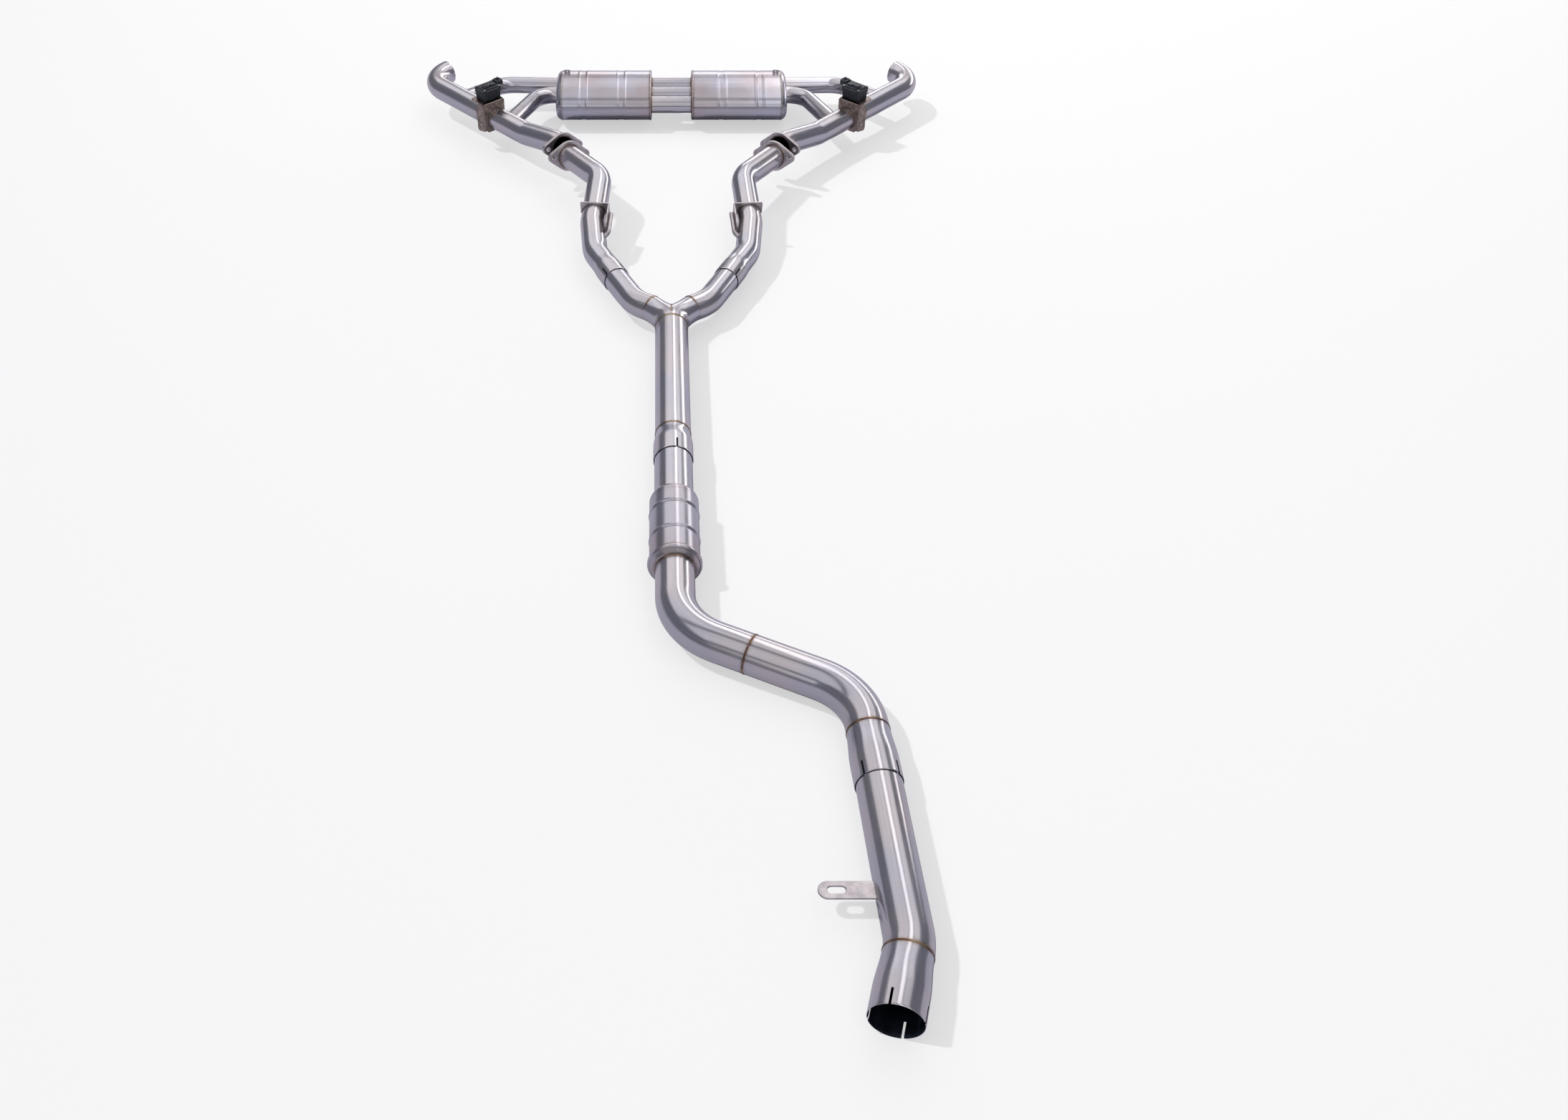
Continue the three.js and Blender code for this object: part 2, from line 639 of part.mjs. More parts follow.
// Folded sheet: a front plate round the pipe, a strap down the outer side and a shelf on top.
function buildActuatorBrackets() {
  const frontFace = -valveBodyLength / 2 - 4;
  const strapSide = valveBodyRadius + 3;
  const innerSide = -28;
  const plateWidth = strapSide + sheet - innerSide;
  const plateMiddle = (strapSide + sheet + innerSide) / 2;
  const bottom = -31;
  const top = shelfHeight + sheet;
  const strapLength = 32;
  const shelfLength = 60;
  const front = block(
    [plateWidth, sheet, top - bottom], [plateMiddle, frontFace - sheet / 2, (top + bottom) / 2], valveFrame);
  const strap = block(
    [sheet, strapLength, top - bottom],
    [strapSide + sheet / 2, frontFace + strapLength / 2 - sheet, (top + bottom) / 2], valveFrame);
  const shelf = block(
    [plateWidth, shelfLength, sheet],
    [plateMiddle, frontFace + shelfLength / 2 - sheet, shelfHeight + sheet / 2], valveFrame);
  const pipeHole = rod([stepFrom(valveInlet, rearCorner, 40), valveInlet], twinBendRadius, twinDiameter / 2 + 2 * gap);
  const shaftHole = cylinder(bossRadius, shelfHeight - 2, top + 1, upright);
  addPair('actuator_bracket', minus(plus(front, strap, shelf), pipeHole, shaftHole), sheetSteel);
}

// ---- Actuators ---------------------------------------------------------------------------------
function roundedRectangle(length, width, radius) {
  const points = [];
  const corners = [[1, 1, 0], [-1, 1, 90], [-1, -1, 180], [1, -1, 270]];
  corners.forEach(([signX, signY, startDegrees]) => {
    for (let i = 0; i <= 3; i += 1) {
      const angle = THREE.MathUtils.degToRad(startDegrees + 30 * i);
      const x = signX * (length / 2 - radius) + radius * Math.cos(angle);
      const y = signY * (width / 2 - radius) + radius * Math.sin(angle);
      points.push(new THREE.Vector2(x, y));
    }
  });
  return points;
}

function buildActuators() {
  const base = shelfHeight + sheet + gap;
  const floorThickness = 2.5;
  const skin = 2;
  const cornerRadius = 10;
  const level = (height) => valveFrame.clone().multiply(new THREE.Matrix4().makeTranslation(0, 2, height));
  const outline = roundedRectangle(housingLength, housingWidth, cornerRadius);
  const inside = roundedRectangle(housingLength - 2 * skin, housingWidth - 2 * skin, cornerRadius - skin);
  const shaftHole = cylinder(shaftRadius + shaftClearance, base - 1, base + 6, upright);
  const shell = extruded(outline, [], housingHeight, level(base));
  const cavity = extruded(inside, [], housingHeight, level(base + floorThickness));
  addPair('actuator_housing', minus(shell, cavity, shaftHole), blackPlastic);

  const coverBase = base + housingHeight + gap;
  const lid = extruded(outline, [], coverHeight, level(coverBase));
  const plug = block([16, 20, 9], [-housingLength / 2 - 4, 6, coverBase + coverHeight / 2 + 1], valveFrame);
  const hump = block([26, 24, 6], [6, -4, coverBase + coverHeight + 2], valveFrame);
  const plugBore = block([12, 15, 5], [-housingLength / 2 - 9, 6, coverBase + coverHeight / 2 + 1], valveFrame);
  addPair('actuator_cover', minus(plus(lid, plug, hump), plugBore), blackPlastic);

  const toothDepth = 2.2;
  const gearOutline = [];
  for (let tooth = 0; tooth < gearTeeth; tooth += 1) {
    const radii = [gearPitchRadius - toothDepth, gearPitchRadius + toothDepth];
    [[0, 0], [0.25, 1], [0.5, 1], [0.75, 0]].forEach(([share, high]) => {
      const angle = (2 * Math.PI * (tooth + share)) / gearTeeth;
      gearOutline.push(new THREE.Vector2(radii[high] * Math.cos(angle), radii[high] * Math.sin(angle)));
    });
  }
  const gearThickness = 6;
  const gearPlace = valveFrame.clone().multiply(new THREE.Matrix4().makeTranslation(0, 0, base + floorThickness + 4));
  const gear = extruded(gearOutline, [ring(shaftRadius + gap, 12)], gearThickness, gearPlace);
  addPair('actuator_gear', gear, palePlastic);
}

// ---- Mufflers ----------------------------------------------------------------------------------
function ellipse(inset) {
  return ring(1, canSides).map((point) => new THREE.Vector2(
    point.x * (canHalfDepth - inset),
    point.y * (canHalfHeight - inset),
  ));
}

// Local X and Y of an outline become +Y and +Z, and its depth becomes +X.
function acrossFrom(x) {
  const basis = new THREE.Matrix4().makeBasis(new THREE.Vector3(0, 1, 0), up, new THREE.Vector3(1, 0, 0));
  return basis.setPosition(x, canStation, mufflerHeight);
}

function tubeHole(offset, radius) {
  return ring(radius).map((point) => new THREE.Vector2(point.y + offset, point.x));
}

function buildMufflers() {
  const seam = 3;
  const shellLength = canOuter - canInner - 2 * seam - 2 * gap;
  const shell = extruded(ellipse(0), [ellipse(wall)], shellLength, acrossFrom(canInner + seam + gap));
  addPair('muffler_shell', shell, brushedSteel);

  const holeRadius = muffledDiameter / 2 + gap;
  const innerHoles = [-tubePitch, 0, tubePitch].map((offset) => tubeHole(offset, holeRadius));
  const outerHoles = [0, tubePitch].map((offset) => tubeHole(offset, holeRadius));
  addPair('muffler_inner_plate', extruded(ellipse(-1.5), innerHoles, seam, acrossFrom(canInner)), brushedSteel);
  addPair('muffler_outer_plate', extruded(ellipse(-1.5), outerHoles, seam, acrossFrom(canOuter - seam)), brushedSteel);

  const tubes = [
    ['crossover_tube_front', -tubePitch, canOuter - 40],
    ['crossover_tube_middle', 0, canOuter - 6 - gap],
    ['crossover_tube_rear', tubePitch, canOuter - 6 - gap],
  ];
  tubes.forEach(([name, offset, reach]) => {
    const start = [-reach, canStation + offset, mufflerHeight];
    const end = [reach, canStation + offset, mufflerHeight];
    add(name, pipe([start, end], twinBendRadius, muffledDiameter), brushedSteel());
  });
}

buildInletCollar();
buildFrontPipe();
buildFrontHangerTab();
buildSPipe();
buildResonator();
buildYPipe();
buildMidPipes();
buildMidHangers();
buildFlanges();
buildRearPipes();
buildValveBodies();
buildShaftAndFlap();
buildActuatorBrackets();
buildActuators();
buildMufflers();

// The origin is the middle of the base of the whole system.
const bounds = new THREE.Box3().setFromObject(group);
const middle = bounds.getCenter(new THREE.Vector3());
group.position.set(-middle.x, -middle.y, -bounds.min.z);

export default group;
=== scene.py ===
"""A valved cat-back exhaust system, made as fine-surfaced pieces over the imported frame.

Lengths below are in millimetres, in the layout that the pipes were drawn in: X to the right, the
station backward from the inlet's mouth and Z upward. in_row() turns them into metres in the row frame.
"""
import math

import bpy
import numpy as np
from bpy.props import FloatProperty, FloatVectorProperty, IntProperty, PointerProperty
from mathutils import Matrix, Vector
from mathutils.geometry import tessellate_polygon


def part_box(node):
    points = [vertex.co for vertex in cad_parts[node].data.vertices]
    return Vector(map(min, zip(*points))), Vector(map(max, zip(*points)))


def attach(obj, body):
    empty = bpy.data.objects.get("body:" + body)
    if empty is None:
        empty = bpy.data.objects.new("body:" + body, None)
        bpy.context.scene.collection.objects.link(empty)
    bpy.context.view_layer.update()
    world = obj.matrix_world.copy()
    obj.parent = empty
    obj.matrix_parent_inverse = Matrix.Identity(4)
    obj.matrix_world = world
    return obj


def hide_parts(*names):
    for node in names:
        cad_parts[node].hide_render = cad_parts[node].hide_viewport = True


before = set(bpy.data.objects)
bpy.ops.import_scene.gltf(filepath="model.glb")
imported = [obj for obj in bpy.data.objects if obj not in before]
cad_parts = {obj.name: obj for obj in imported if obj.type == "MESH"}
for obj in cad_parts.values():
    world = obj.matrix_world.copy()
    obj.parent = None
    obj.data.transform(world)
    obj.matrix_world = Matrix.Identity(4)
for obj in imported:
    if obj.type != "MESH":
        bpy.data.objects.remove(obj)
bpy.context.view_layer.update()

bl_info = {
    "name": "Cat-back Exhaust System",
    "version": (1, 0, 0),
    "blender": (4, 5, 0),
    "location": "3D View > Sidebar > Exhaust",
    "description": "Makes a valved cat-back exhaust system piece by piece",
    "category": "Add Mesh",
}

PIPEWORK = "pipework"
SIDES = (("right", 1), ("left", -1))

# Tube diameters and bend radii, in mm.
WALL = 1.5
SLIP_FIT = 0.4
INLET_PIPE = 76.2
FRONT_PIPE = 73.0
TRUNK_PIPE = 70.0
TWIN_PIPE = 57.2
MUFFLED_PIPE = 42.4
FRONT_BEND = 120.0
INLET_BEND = 115.0
TWIN_BEND = 86.0
MUFFLED_BEND = 62.0
HOOK_BEND = 70.0

# Slip joints: a socket with four slots, which takes a pipe for SLIP_DEPTH. Behind that it narrows in
# a long neck. The first slot's angle is in degrees to the right of the top.
SOCKET_NECK = 44.0
SLOT_WIDTH = 3.8
SLOT_LENGTH = 26.0
SLIP_DEPTH = 44.0
# How far from its end a pipe's outside gets the bore's painted shade, inside a socket where it shows dark
# through the slots.
SOCKET_SHADE_LENGTH = 43.5
MOUTH_WALL = 0.6
INLET_SLOT = -18.0
JOINT_SLOT = 48.0
Y_SLOT = 11.0

# Route corners of the front half and of the right-hand side, in mm: X, station, Z.
INLET_END = (298, 0, 40)
INLET_CORNER = (331, 120, 40)
FRONT_JOINT = (317, 402, 40)
LOWER_CORNER = (305, 590, 41)
MERGE = (0, 1690, 50)
TRUNK_LEAN = 0.0076
LEG_CORNER = (80, 1744, 50)
LEG_JOINT = (122, 1836, 50)
MID_LOW_CORNER = (174, 1950, 53)
HANGER_POINT = (183, 2046, 72)
MID_HIGH_CORNER = (170, 2208, 104)
MID_FLANGE = (252, 2343, 92)
REAR_FLANGE = (269, 2376, 99)
REAR_FLANGE_CORNER = (287, 2403, 98)
REAR_CORNER = (368, 2486, 80)
HOOK_CORNER = (655, 2794, 80)
HOOK_END = (603, 2845, 84)
BRANCH_ROOT = (418, 2540, 80)
BRANCH_CORNER = (352, 2750, 61)
RETURN_CORNER = (452, 2808, 63)
RETURN_ROOT = (550, 2681, 80)
VALVE_SHARE = 0.35

# Mufflers: oval cans across the car, measured from the middle plane.
CAN_INNER = 53.0
CAN_OUTER = 305.0
CAN_HALF_DEPTH = 94.0
CAN_HALF_HEIGHT = 54.0
CAN_STATION = 2750.0
CAN_LEVEL = 61.0
TUBE_PITCH = 58.0

FLANGE_THICKNESS = 8.0
FLANGE_ROLL = 8.0
VALVE_LENGTH = 39.4
VALVE_RADIUS = 33.0
SHELF_LEVEL = 43.0
SHEET = 3.0

# What a bend, an edge or a weld needs, in mm: the weld distance of a point that no weld tints, and how
# far the end rings of a tube shrink where no weld hides the cut.
FAR_FROM_WELD = 200.0
CUT_EDGE = 0.25


def row_shift():
    """What is taken from a layout point to stand in the row frame: the can's middle shows it."""
    low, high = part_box("muffler_shell_right")
    middle = (np.array(low) + np.array(high)) * 500
    return np.array([0.0, CAN_STATION - middle[1], CAN_LEVEL - middle[2]])


ROW_SHIFT = row_shift()


def in_row(points):
    """Layout points in mm as row-frame points in metres."""
    return (np.asarray(points, float) - ROW_SHIFT) * 0.001


# ---- Directions, routes and profiles -------------------------------------------------------------
def unit(vector):
    return np.asarray(vector, float) / np.linalg.norm(vector)


def step_from(start, end, distance):
    """The point at a distance from start on the way to end."""
    start = np.asarray(start, float)
    return start + unit(np.asarray(end, float) - start) * distance


def between(start, end, share):
    return (1 - share) * np.asarray(start, float) + share * np.asarray(end, float)


def on_trunk(station):
    """A point of the trunk line, which leans a little to the right at its front."""
    return np.array([(MERGE[1] - station) * TRUNK_LEAN, station, MERGE[2]])


def distances_along(points):
    """Each point's distance from the first one, measured along the line through them."""
    steps = np.linalg.norm(np.diff(points, axis=0), axis=1)
    return np.concatenate([[0.0], np.cumsum(steps)])


def sampled(values, distances, wanted):
    """Three-part values known at some distances, at the wanted distances between them."""
    return np.stack([np.interp(wanted, distances, values[:, k]) for k in range(3)], axis=1)


class Frame:
    """A local frame on a pipe: X to the right of its direction, Y along it and Z upward."""

    def __init__(self, origin, direction):
        self.origin = np.asarray(origin, float)
        self.along = unit(direction)
        upward = np.array([0.0, 0.0, 1.0])
        self.up = unit(upward - self.along * upward.dot(self.along))
        self.right = np.cross(self.along, self.up)

    def place(self, points):
        """Local points (right, along, up) as layout points."""
        return self.origin + np.asarray(points, float) @ np.array([self.right, self.along, self.up])

    def moved(self, right=0.0, along=0.0, up=0.0):
        other = Frame(self.origin, self.along)
        other.origin = self.place([right, along, up])
        return other

    def upright(self):
        """The same place with Y turned upward, for turned pieces that stand on the pipe."""
        other = Frame(self.origin, self.along)
        other.right, other.along, other.up = self.right, self.up, -self.along
        return other

    def rolled(self, degrees):
        """The same frame turned about the pipe, right-hand side upward."""
        other = Frame(self.origin, self.along)
        turn = math.radians(degrees)
        other.right = self.right * math.cos(turn) + self.up * math.sin(turn)
        other.up = self.up * math.cos(turn) - self.right * math.sin(turn)
        return other


class Route:
    """The centre line of a pipe: straight runs and round bends through its corners."""

    def __init__(self, corners, bend_radius, marks=(), run_step=14.0, bend_step=2.5):
        corners = [np.asarray(corner, float) for corner in corners]
        self.run_step = run_step
        self.points = [corners[0]]
        self.tangents = [unit(corners[1] - corners[0])]
        for before, corner, after in zip(corners, corners[1:], corners[2:]):
            self.add_bend(before, corner, after, bend_radius, bend_step)
        self.add_run(corners[-1])
        points = np.array(self.points)
        distances = distances_along(points)
        self.length = distances[-1]
        marks = [mark if mark >= 0 else self.length + mark for mark in marks]
        self.distances = np.unique(np.round(np.concatenate([distances, marks]), 3))
        self.points = sampled(points, distances, self.distances)
        tangents = sampled(np.array(self.tangents), distances, self.distances)
        self.tangents = tangents / np.linalg.norm(tangents, axis=1)[:, None]

    def add_run(self, point):
        start, tangent = self.points[-1], self.tangents[-1]
        count = max(1, math.ceil(np.linalg.norm(point - start) / self.run_step))
        for step in range(1, count + 1):
            self.points.append(start + (point - start) * step / count)
            self.tangents.append(tangent)

    def add_bend(self, before, corner, after, radius, bend_step):
        incoming, outgoing = unit(corner - before), unit(after - corner)
        turn = math.acos(np.clip(incoming.dot(outgoing), -1, 1))
        start = corner - incoming * radius * math.tan(turn / 2)
        self.add_run(start)
        inward = unit(outgoing - incoming * outgoing.dot(incoming))
        steps = math.ceil(math.degrees(turn) / bend_step)
        for step in range(1, steps + 1):
            angle = turn * step / steps
            self.points.append(
                start + incoming * radius * math.sin(angle) + inward * radius * (1 - math.cos(angle))
            )
            self.tangents.append(incoming * math.cos(angle) + inward * math.sin(angle))

    def cross_axes(self):
        """The sideways and upward directions at every point."""
        upward = np.array([0.0, 0.0, 1.0]) - self.tangents * self.tangents[:, 2:]
        upward /= np.linalg.norm(upward, axis=1)[:, None]
        return np.cross(self.tangents, upward), upward

    def grid(self, radii, angles):
        """Points on circles round the route: one row for each of its points, one column per angle."""
        sideways, upward = self.cross_axes()
        ring = np.cos(angles)[None, :, None] * sideways[:, None, :]
        ring = ring + np.sin(angles)[None, :, None] * upward[:, None, :]
        return self.points[:, None, :] + np.asarray(radii)[:, None, None] * ring


def rounded(corners, radius, steps=5):
    """A flat polyline whose inner corners are replaced by arcs, each as large as its sides allow."""
    corners = [np.asarray(corner, float) for corner in corners]
    points = [corners[0]]
    for before, corner, after in zip(corners, corners[1:], corners[2:]):
        incoming, outgoing = unit(corner - before), unit(after - corner)
        turn = math.acos(np.clip(incoming.dot(outgoing), -1, 1))
        room = 0.48 * min(np.linalg.norm(corner - before), np.linalg.norm(after - corner))
        reach = min(radius * math.tan(turn / 2), room)
        start, end = corner - incoming * reach, corner + outgoing * reach
        share = np.linspace(0, 1, steps + 1)[:, None]
        points.extend((1 - share) ** 2 * start + 2 * share * (1 - share) * corner + share**2 * end)
    points.append(corners[-1])
    return np.array(points)


def smooth_step(values, start, end):
    share = np.clip((np.asarray(values, float) - start) / (end - start), 0, 1)
    return share * share * (3 - 2 * share)


def ring_angles(columns):
    return np.arange(columns) * 2 * np.pi / columns


def slotted_angles(radius, columns, first_slot):
    """Angles round a socket with a pair at each slot's edges, and which columns open into a slot."""
    half = math.asin(SLOT_WIDTH / 2 / radius)
    between_slots = max(6, columns // 4 - 1)
    angles, opens = [], []
    for slot_index in range(4):
        middle = math.radians(90 - first_slot) + slot_index * math.pi / 2
        edges = np.linspace(middle + half, middle + math.pi / 2 - half, between_slots + 1)
        angles.append(middle - half)
        opens.append(True)
        angles.extend(edges[:-1])
        opens.extend([False] * between_slots)
    return np.array(angles), np.array(opens)


# ---- Skins and meshes ------------------------------------------------------------------------------
def boundary_edges(faces):
    """The directed edges that only one face uses, as two index arrays."""
    starts = faces.ravel()
    ends = np.roll(faces, -1, axis=1).ravel()
    size = int(faces.max()) + 1
    lone = ~np.isin(starts * size + ends, ends * size + starts)
    return starts[lone], ends[lone]


def quads_round(index):
    """Quads between the rows of a grid of point numbers that closes round its columns."""
    following = np.roll(index, -1, axis=1)
    return np.stack([index[:-1], index[1:], following[1:], following[:-1]], axis=-1)


def grid_faces(rows, columns, open_quads=None):
    """Quads of a grid that closes round its columns, facing away from the route's centre line."""
    quads = quads_round(np.arange(rows * columns).reshape(rows, columns))
    if open_quads is None:
        return quads.reshape(-1, 4)
    return quads[~open_quads]


def wall_faces(front, count):
    """Face sets of a wall whose inside has the same points as its outside, numbered count higher: the
    inside turned round, and the strips that join both along every open edge."""
    starts, ends = boundary_edges(front)
    strips = np.stack([ends, starts, starts + count, ends + count], axis=1)
    return [(front[:, ::-1] + count, 1), (strips, 0)]


def filled(loops):
    """Triangles that fill flat loops, turned so that each runs counter-clockwise."""
    flat = [[Vector((x, y, 0.0)) for x, y in loop] for loop in loops]
    triangles = np.array(tessellate_polygon(flat), np.int64)
    corners = np.concatenate(loops)[triangles]
    side_a, side_b = corners[:, 1] - corners[:, 0], corners[:, 2] - corners[:, 0]
    turned_over = side_a[:, 0] * side_b[:, 1] - side_a[:, 1] * side_b[:, 0] < 0
    triangles[turned_over] = triangles[turned_over][:, ::-1]
    return triangles


def loop_area(loop):
    """Twice the area inside a flat loop, negative for a clockwise one."""
    ahead = np.roll(loop, -1, axis=0)
    return np.sum(loop[:, 0] * ahead[:, 1] - ahead[:, 0] * loop[:, 1])


class Skin:
    """The points, faces and per-point values of one piece, gathered part by part."""

    def __init__(self):
        self.points, self.grain, self.weld, self.faces, self.finish = [], [], [], [], []
        self.count = 0

    def add(self, points, face_sets, grain=None, weld=None):
        """Adds points and (faces, finish number) sets. Grain is where a point lies across and along
        the metal's brushing, and weld is its distance from the nearest weld, both in mm."""
        points = np.asarray(points, float).reshape(-1, 3)
        grain = points if grain is None else np.asarray(grain, float).reshape(-1, 3)
        weld = np.full(len(points), FAR_FROM_WELD) if weld is None else np.asarray(weld, float).ravel()
        self.points.append(points)
        self.grain.append(grain)
        self.weld.append(weld)
        for faces, finish in face_sets:
            self.faces.append(np.asarray(faces, np.int64) + self.count)
            self.finish.append(np.full(len(faces), finish))
        self.count += len(points)
        return self

    def tube(self, route, radii, thickness=WALL, columns=64, first_slot=None, welds=("start", "end"),
             socket_shade=0.0):
        """A pipe wall: circles round the route, outside and inside, joined at both ends and at slots.
        The last stretch of its outside, which stands in a socket and shows through its slots, gets the bore's
        painted shade for the length that the last argument gives."""
        radii = np.broadcast_to(np.asarray(radii, float), route.distances.shape)
        open_quads = None
        angles = ring_angles(columns)
        if first_slot is not None:
            angles, opens = slotted_angles(radii[0], columns, first_slot)
            in_slot = route.distances[1:] <= SLOT_LENGTH + 1e-3
            open_quads = in_slot[:, None] & opens[None, :]
        outer = route.grid(radii, angles)
        inner = route.grid(radii - thickness, angles)
        rows, columns = outer.shape[:2]
        front = grid_faces(rows, columns, open_quads)
        count = rows * columns
        along = np.repeat(route.distances, columns)
        across = np.tile(angles, rows)
        size = np.repeat(radii, columns)
        grain = np.stack([size * np.cos(across), size * np.sin(across), along], axis=1)
        weld = np.full(count, FAR_FROM_WELD)
        if "start" in welds:
            weld = np.minimum(weld, along)
        if "end" in welds:
            weld = np.minimum(weld, route.length - along)
        # The outside that stands in a socket gets the bore's finish: painted shade that shows through the
        # slots.
        in_socket = route.distances[front[:, 0] // columns] >= route.length - socket_shade - 1e-3
        faces = [(front[~in_socket], 0), (front[in_socket], 1), *wall_faces(front, count)]
        both = np.concatenate([outer.reshape(-1, 3), inner.reshape(-1, 3)])
        return self.add(both, faces, np.tile(grain, (2, 1)), np.concatenate([weld, weld]))

    def turned(self, profile, place, columns=64, finish=0, welds=(), closed=True):
        """A profile of (radius, distance along Y) revolved round the frame's Y axis. A closed profile
        returns to its first point; an open one starts and ends on the axis, as one point each."""
        profile = np.asarray(profile, float)
        angles = ring_angles(columns)
        rows = len(profile)
        across = profile[:, 0][:, None] * np.cos(angles)
        upward = profile[:, 0][:, None] * np.sin(angles)
        along = np.broadcast_to(profile[:, 1][:, None], across.shape)
        local = np.stack([across, along, upward], axis=-1)
        grain = np.stack([across, upward, along], axis=-1)
        index = np.arange(rows * columns).reshape(rows, columns)
        if closed:
            index = np.concatenate([index, index[:1]])
        quads = quads_round(index).reshape(-1, 4)
        section = profile if closed else np.vstack([profile, [0, profile[-1, 1]], [0, profile[0, 1]]])
        area = loop_area(section)
        if area < 0:
            quads = quads[:, ::-1]
        weld = np.full(local.shape[:2], FAR_FROM_WELD)
        for station in welds:
            weld = np.minimum(weld, np.abs(along - station))
        faces = [(quads, finish)]
        points = place.place(local.reshape(-1, 3))
        if not closed:
            ends = place.place([[0, profile[0, 1], 0], [0, profile[-1, 1], 0]])
            points = np.concatenate([points, ends])
            grain = np.concatenate([grain.reshape(-1, 3), [[0, 0, profile[0, 1]], [0, 0, profile[-1, 1]]]])
            weld = np.concatenate([weld.ravel(), [FAR_FROM_WELD, FAR_FROM_WELD]])
            first, last = index[0], index[-1]
            start_pole, end_pole = rows * columns, rows * columns + 1
            start_fan = np.stack([np.full(columns, start_pole), first, np.roll(first, -1)], axis=1)
            end_fan = np.stack([np.full(columns, end_pole), np.roll(last, -1), last], axis=1)
            if area < 0:
                start_fan, end_fan = start_fan[:, ::-1], end_fan[:, ::-1]
            faces += [(start_fan, finish), (end_fan, finish)]
        return self.add(points, faces, grain, weld)

    def plate(self, outline, holes, thickness, place, edge=0.5, finish=0, weld_hole=None):
        """A flat plate with holes: outline and holes are (right, up) loops, and both faces have a
        small rounded edge. The plate is centred on the frame's Y = 0."""
        loops = [counter_clockwise(outline)] + [counter_clockwise(hole)[::-1] for hole in holes]
        inset_loops = [inset_loop(loop, edge) for loop in loops]
        inset, full = np.concatenate(inset_loops), np.concatenate(loops)
        front = filled(inset_loops)
        count = len(full)
        half = thickness / 2
        layers = [(inset, -half), (full, -half + edge), (full, half - edge), (inset, half)]
        local = np.concatenate(
            [np.stack([flat_points[:, 0], np.full(count, depth), flat_points[:, 1]], axis=1)
             for flat_points, depth in layers]
        )
        starts, ends = loop_edges(loops)
        wall = np.stack([ends, starts, starts + count, ends + count], axis=1)
        faces = [(front, finish), (front[:, ::-1] + 3 * count, finish)]
        faces += [(wall + layer * count, finish) for layer in range(3)]
        weld = None
        if weld_hole is not None:
            weld = np.abs(np.hypot(local[:, 0], local[:, 2]) - weld_hole)
        return self.add(place.place(local), faces, local[:, [0, 2, 1]], weld)

    def block(self, outline, rows, place, finish=0):
        """A moulded or cut block that stands up from its frame: every row is (inset, height) and holds
        the outline shrunk by that inset. The first and last rows are closed by flat caps."""
        loop = counter_clockwise(outline)
        count = len(loop)
        rings = [np.column_stack([shrunk(loop, inset), np.full(count, height)]) for inset, height in rows]
        local = np.concatenate(rings)
        faces = grid_faces(len(rows), count)[:, ::-1]
        cap = filled([loop])
        top = cap + (len(rows) - 1) * count
        return self.add(place.place(local), [(faces, finish), (top, finish), (cap[:, ::-1], finish)], local)

    def bead(self, loop_points, normals, half_width, height, pitch=2.6, finish=0, closed=True):
        """A weld bead along a path: a low half-round whose height and width swell once every pitch,
        like a row of overlapping coins. normals point away from the joint at every point."""
        points = np.asarray(loop_points, float)
        normals = np.asarray(normals, float)
        following = np.roll(points, -1, axis=0) if closed else np.vstack([points[1:], points[-1:]])
        before = np.roll(points, 1, axis=0) if closed else np.vstack([points[:1], points[:-1]])
        tangents = following - before
        tangents /= np.linalg.norm(tangents, axis=1)[:, None]
        sideways = np.cross(tangents, normals)
        distance = distances_along(points)
        total = distance[-1] + (np.linalg.norm(points[0] - points[-1]) if closed else 0.0)
        ripples = max(1, round(total / pitch))
        phase = (distance / total * ripples) % 1.0
        swell = 0.72 + 0.28 * np.sqrt(np.clip(1 - (2 * phase - 1) ** 2, 0, 1))
        angles = ring_angles(10)
        across = np.cos(angles)[None, :] * (half_width * (0.85 + 0.15 * swell))[:, None]
        outward = np.sin(angles)[None, :] * (height * swell)[:, None]
        grid = points[:, None] + across[..., None] * sideways[:, None] + outward[..., None] * normals[:, None]
        rows, columns = grid.shape[:2]
        index = np.arange(rows * columns).reshape(rows, columns)
        if closed:
            index = np.concatenate([index, index[:1]])
        quads = quads_round(index).reshape(-1, 4)
        faces = [(quads, finish)]
        if not closed:
            faces += [(index[:1], finish), (index[-1:, ::-1], finish)]
        grain = np.stack([across, outward, np.repeat(distance[:, None], columns, axis=1)], axis=-1)
        return self.add(grid, faces, grain, np.zeros(rows * columns))

    def weld_ring(self, place, radius, half_width=2.1, height=0.9, pitch=2.6):
        """A weld bead round a pipe, in the plane square to the frame's Y axis."""
        count = max(24, int(round(2 * math.pi * radius / pitch)) * 6)
        angles = ring_angles(count)
        normals = np.outer(np.cos(angles), place.right) + np.outer(np.sin(angles), place.up)
        return self.bead(place.origin + radius * normals, normals, half_width, height, pitch)


def counter_clockwise(loop):
    loop = np.asarray(loop, float)
    return loop if loop_area(loop) > 0 else loop[::-1]


def inset_loop(loop, distance):
    """The loop moved to its left-hand side by a distance, which is inward for a counter-clockwise one."""
    ahead = np.roll(loop, -1, axis=0) - loop
    behind = loop - np.roll(loop, 1, axis=0)
    ahead = ahead / np.maximum(np.linalg.norm(ahead, axis=1), 1e-9)[:, None]
    behind = behind / np.maximum(np.linalg.norm(behind, axis=1), 1e-9)[:, None]
    tangent = ahead + behind
    tangent = tangent / np.maximum(np.linalg.norm(tangent, axis=1), 1e-9)[:, None]
    normal = np.stack([-tangent[:, 1], tangent[:, 0]], axis=1)
    lean = np.maximum(np.abs(np.sum(normal * np.stack([-ahead[:, 1], ahead[:, 0]], axis=1), axis=1)), 0.5)
    return loop + normal * (distance / lean)[:, None]


def shrunk(loop, inset):
    return inset_loop(loop, inset) if inset else loop


def loop_edges(loops):
    starts, ends, first = [], [], 0
    for loop in loops:
        index = np.arange(len(loop)) + first
        starts.append(index)
        ends.append(np.roll(index, -1))
        first += len(loop)
    return np.concatenate(starts), np.concatenate(ends)


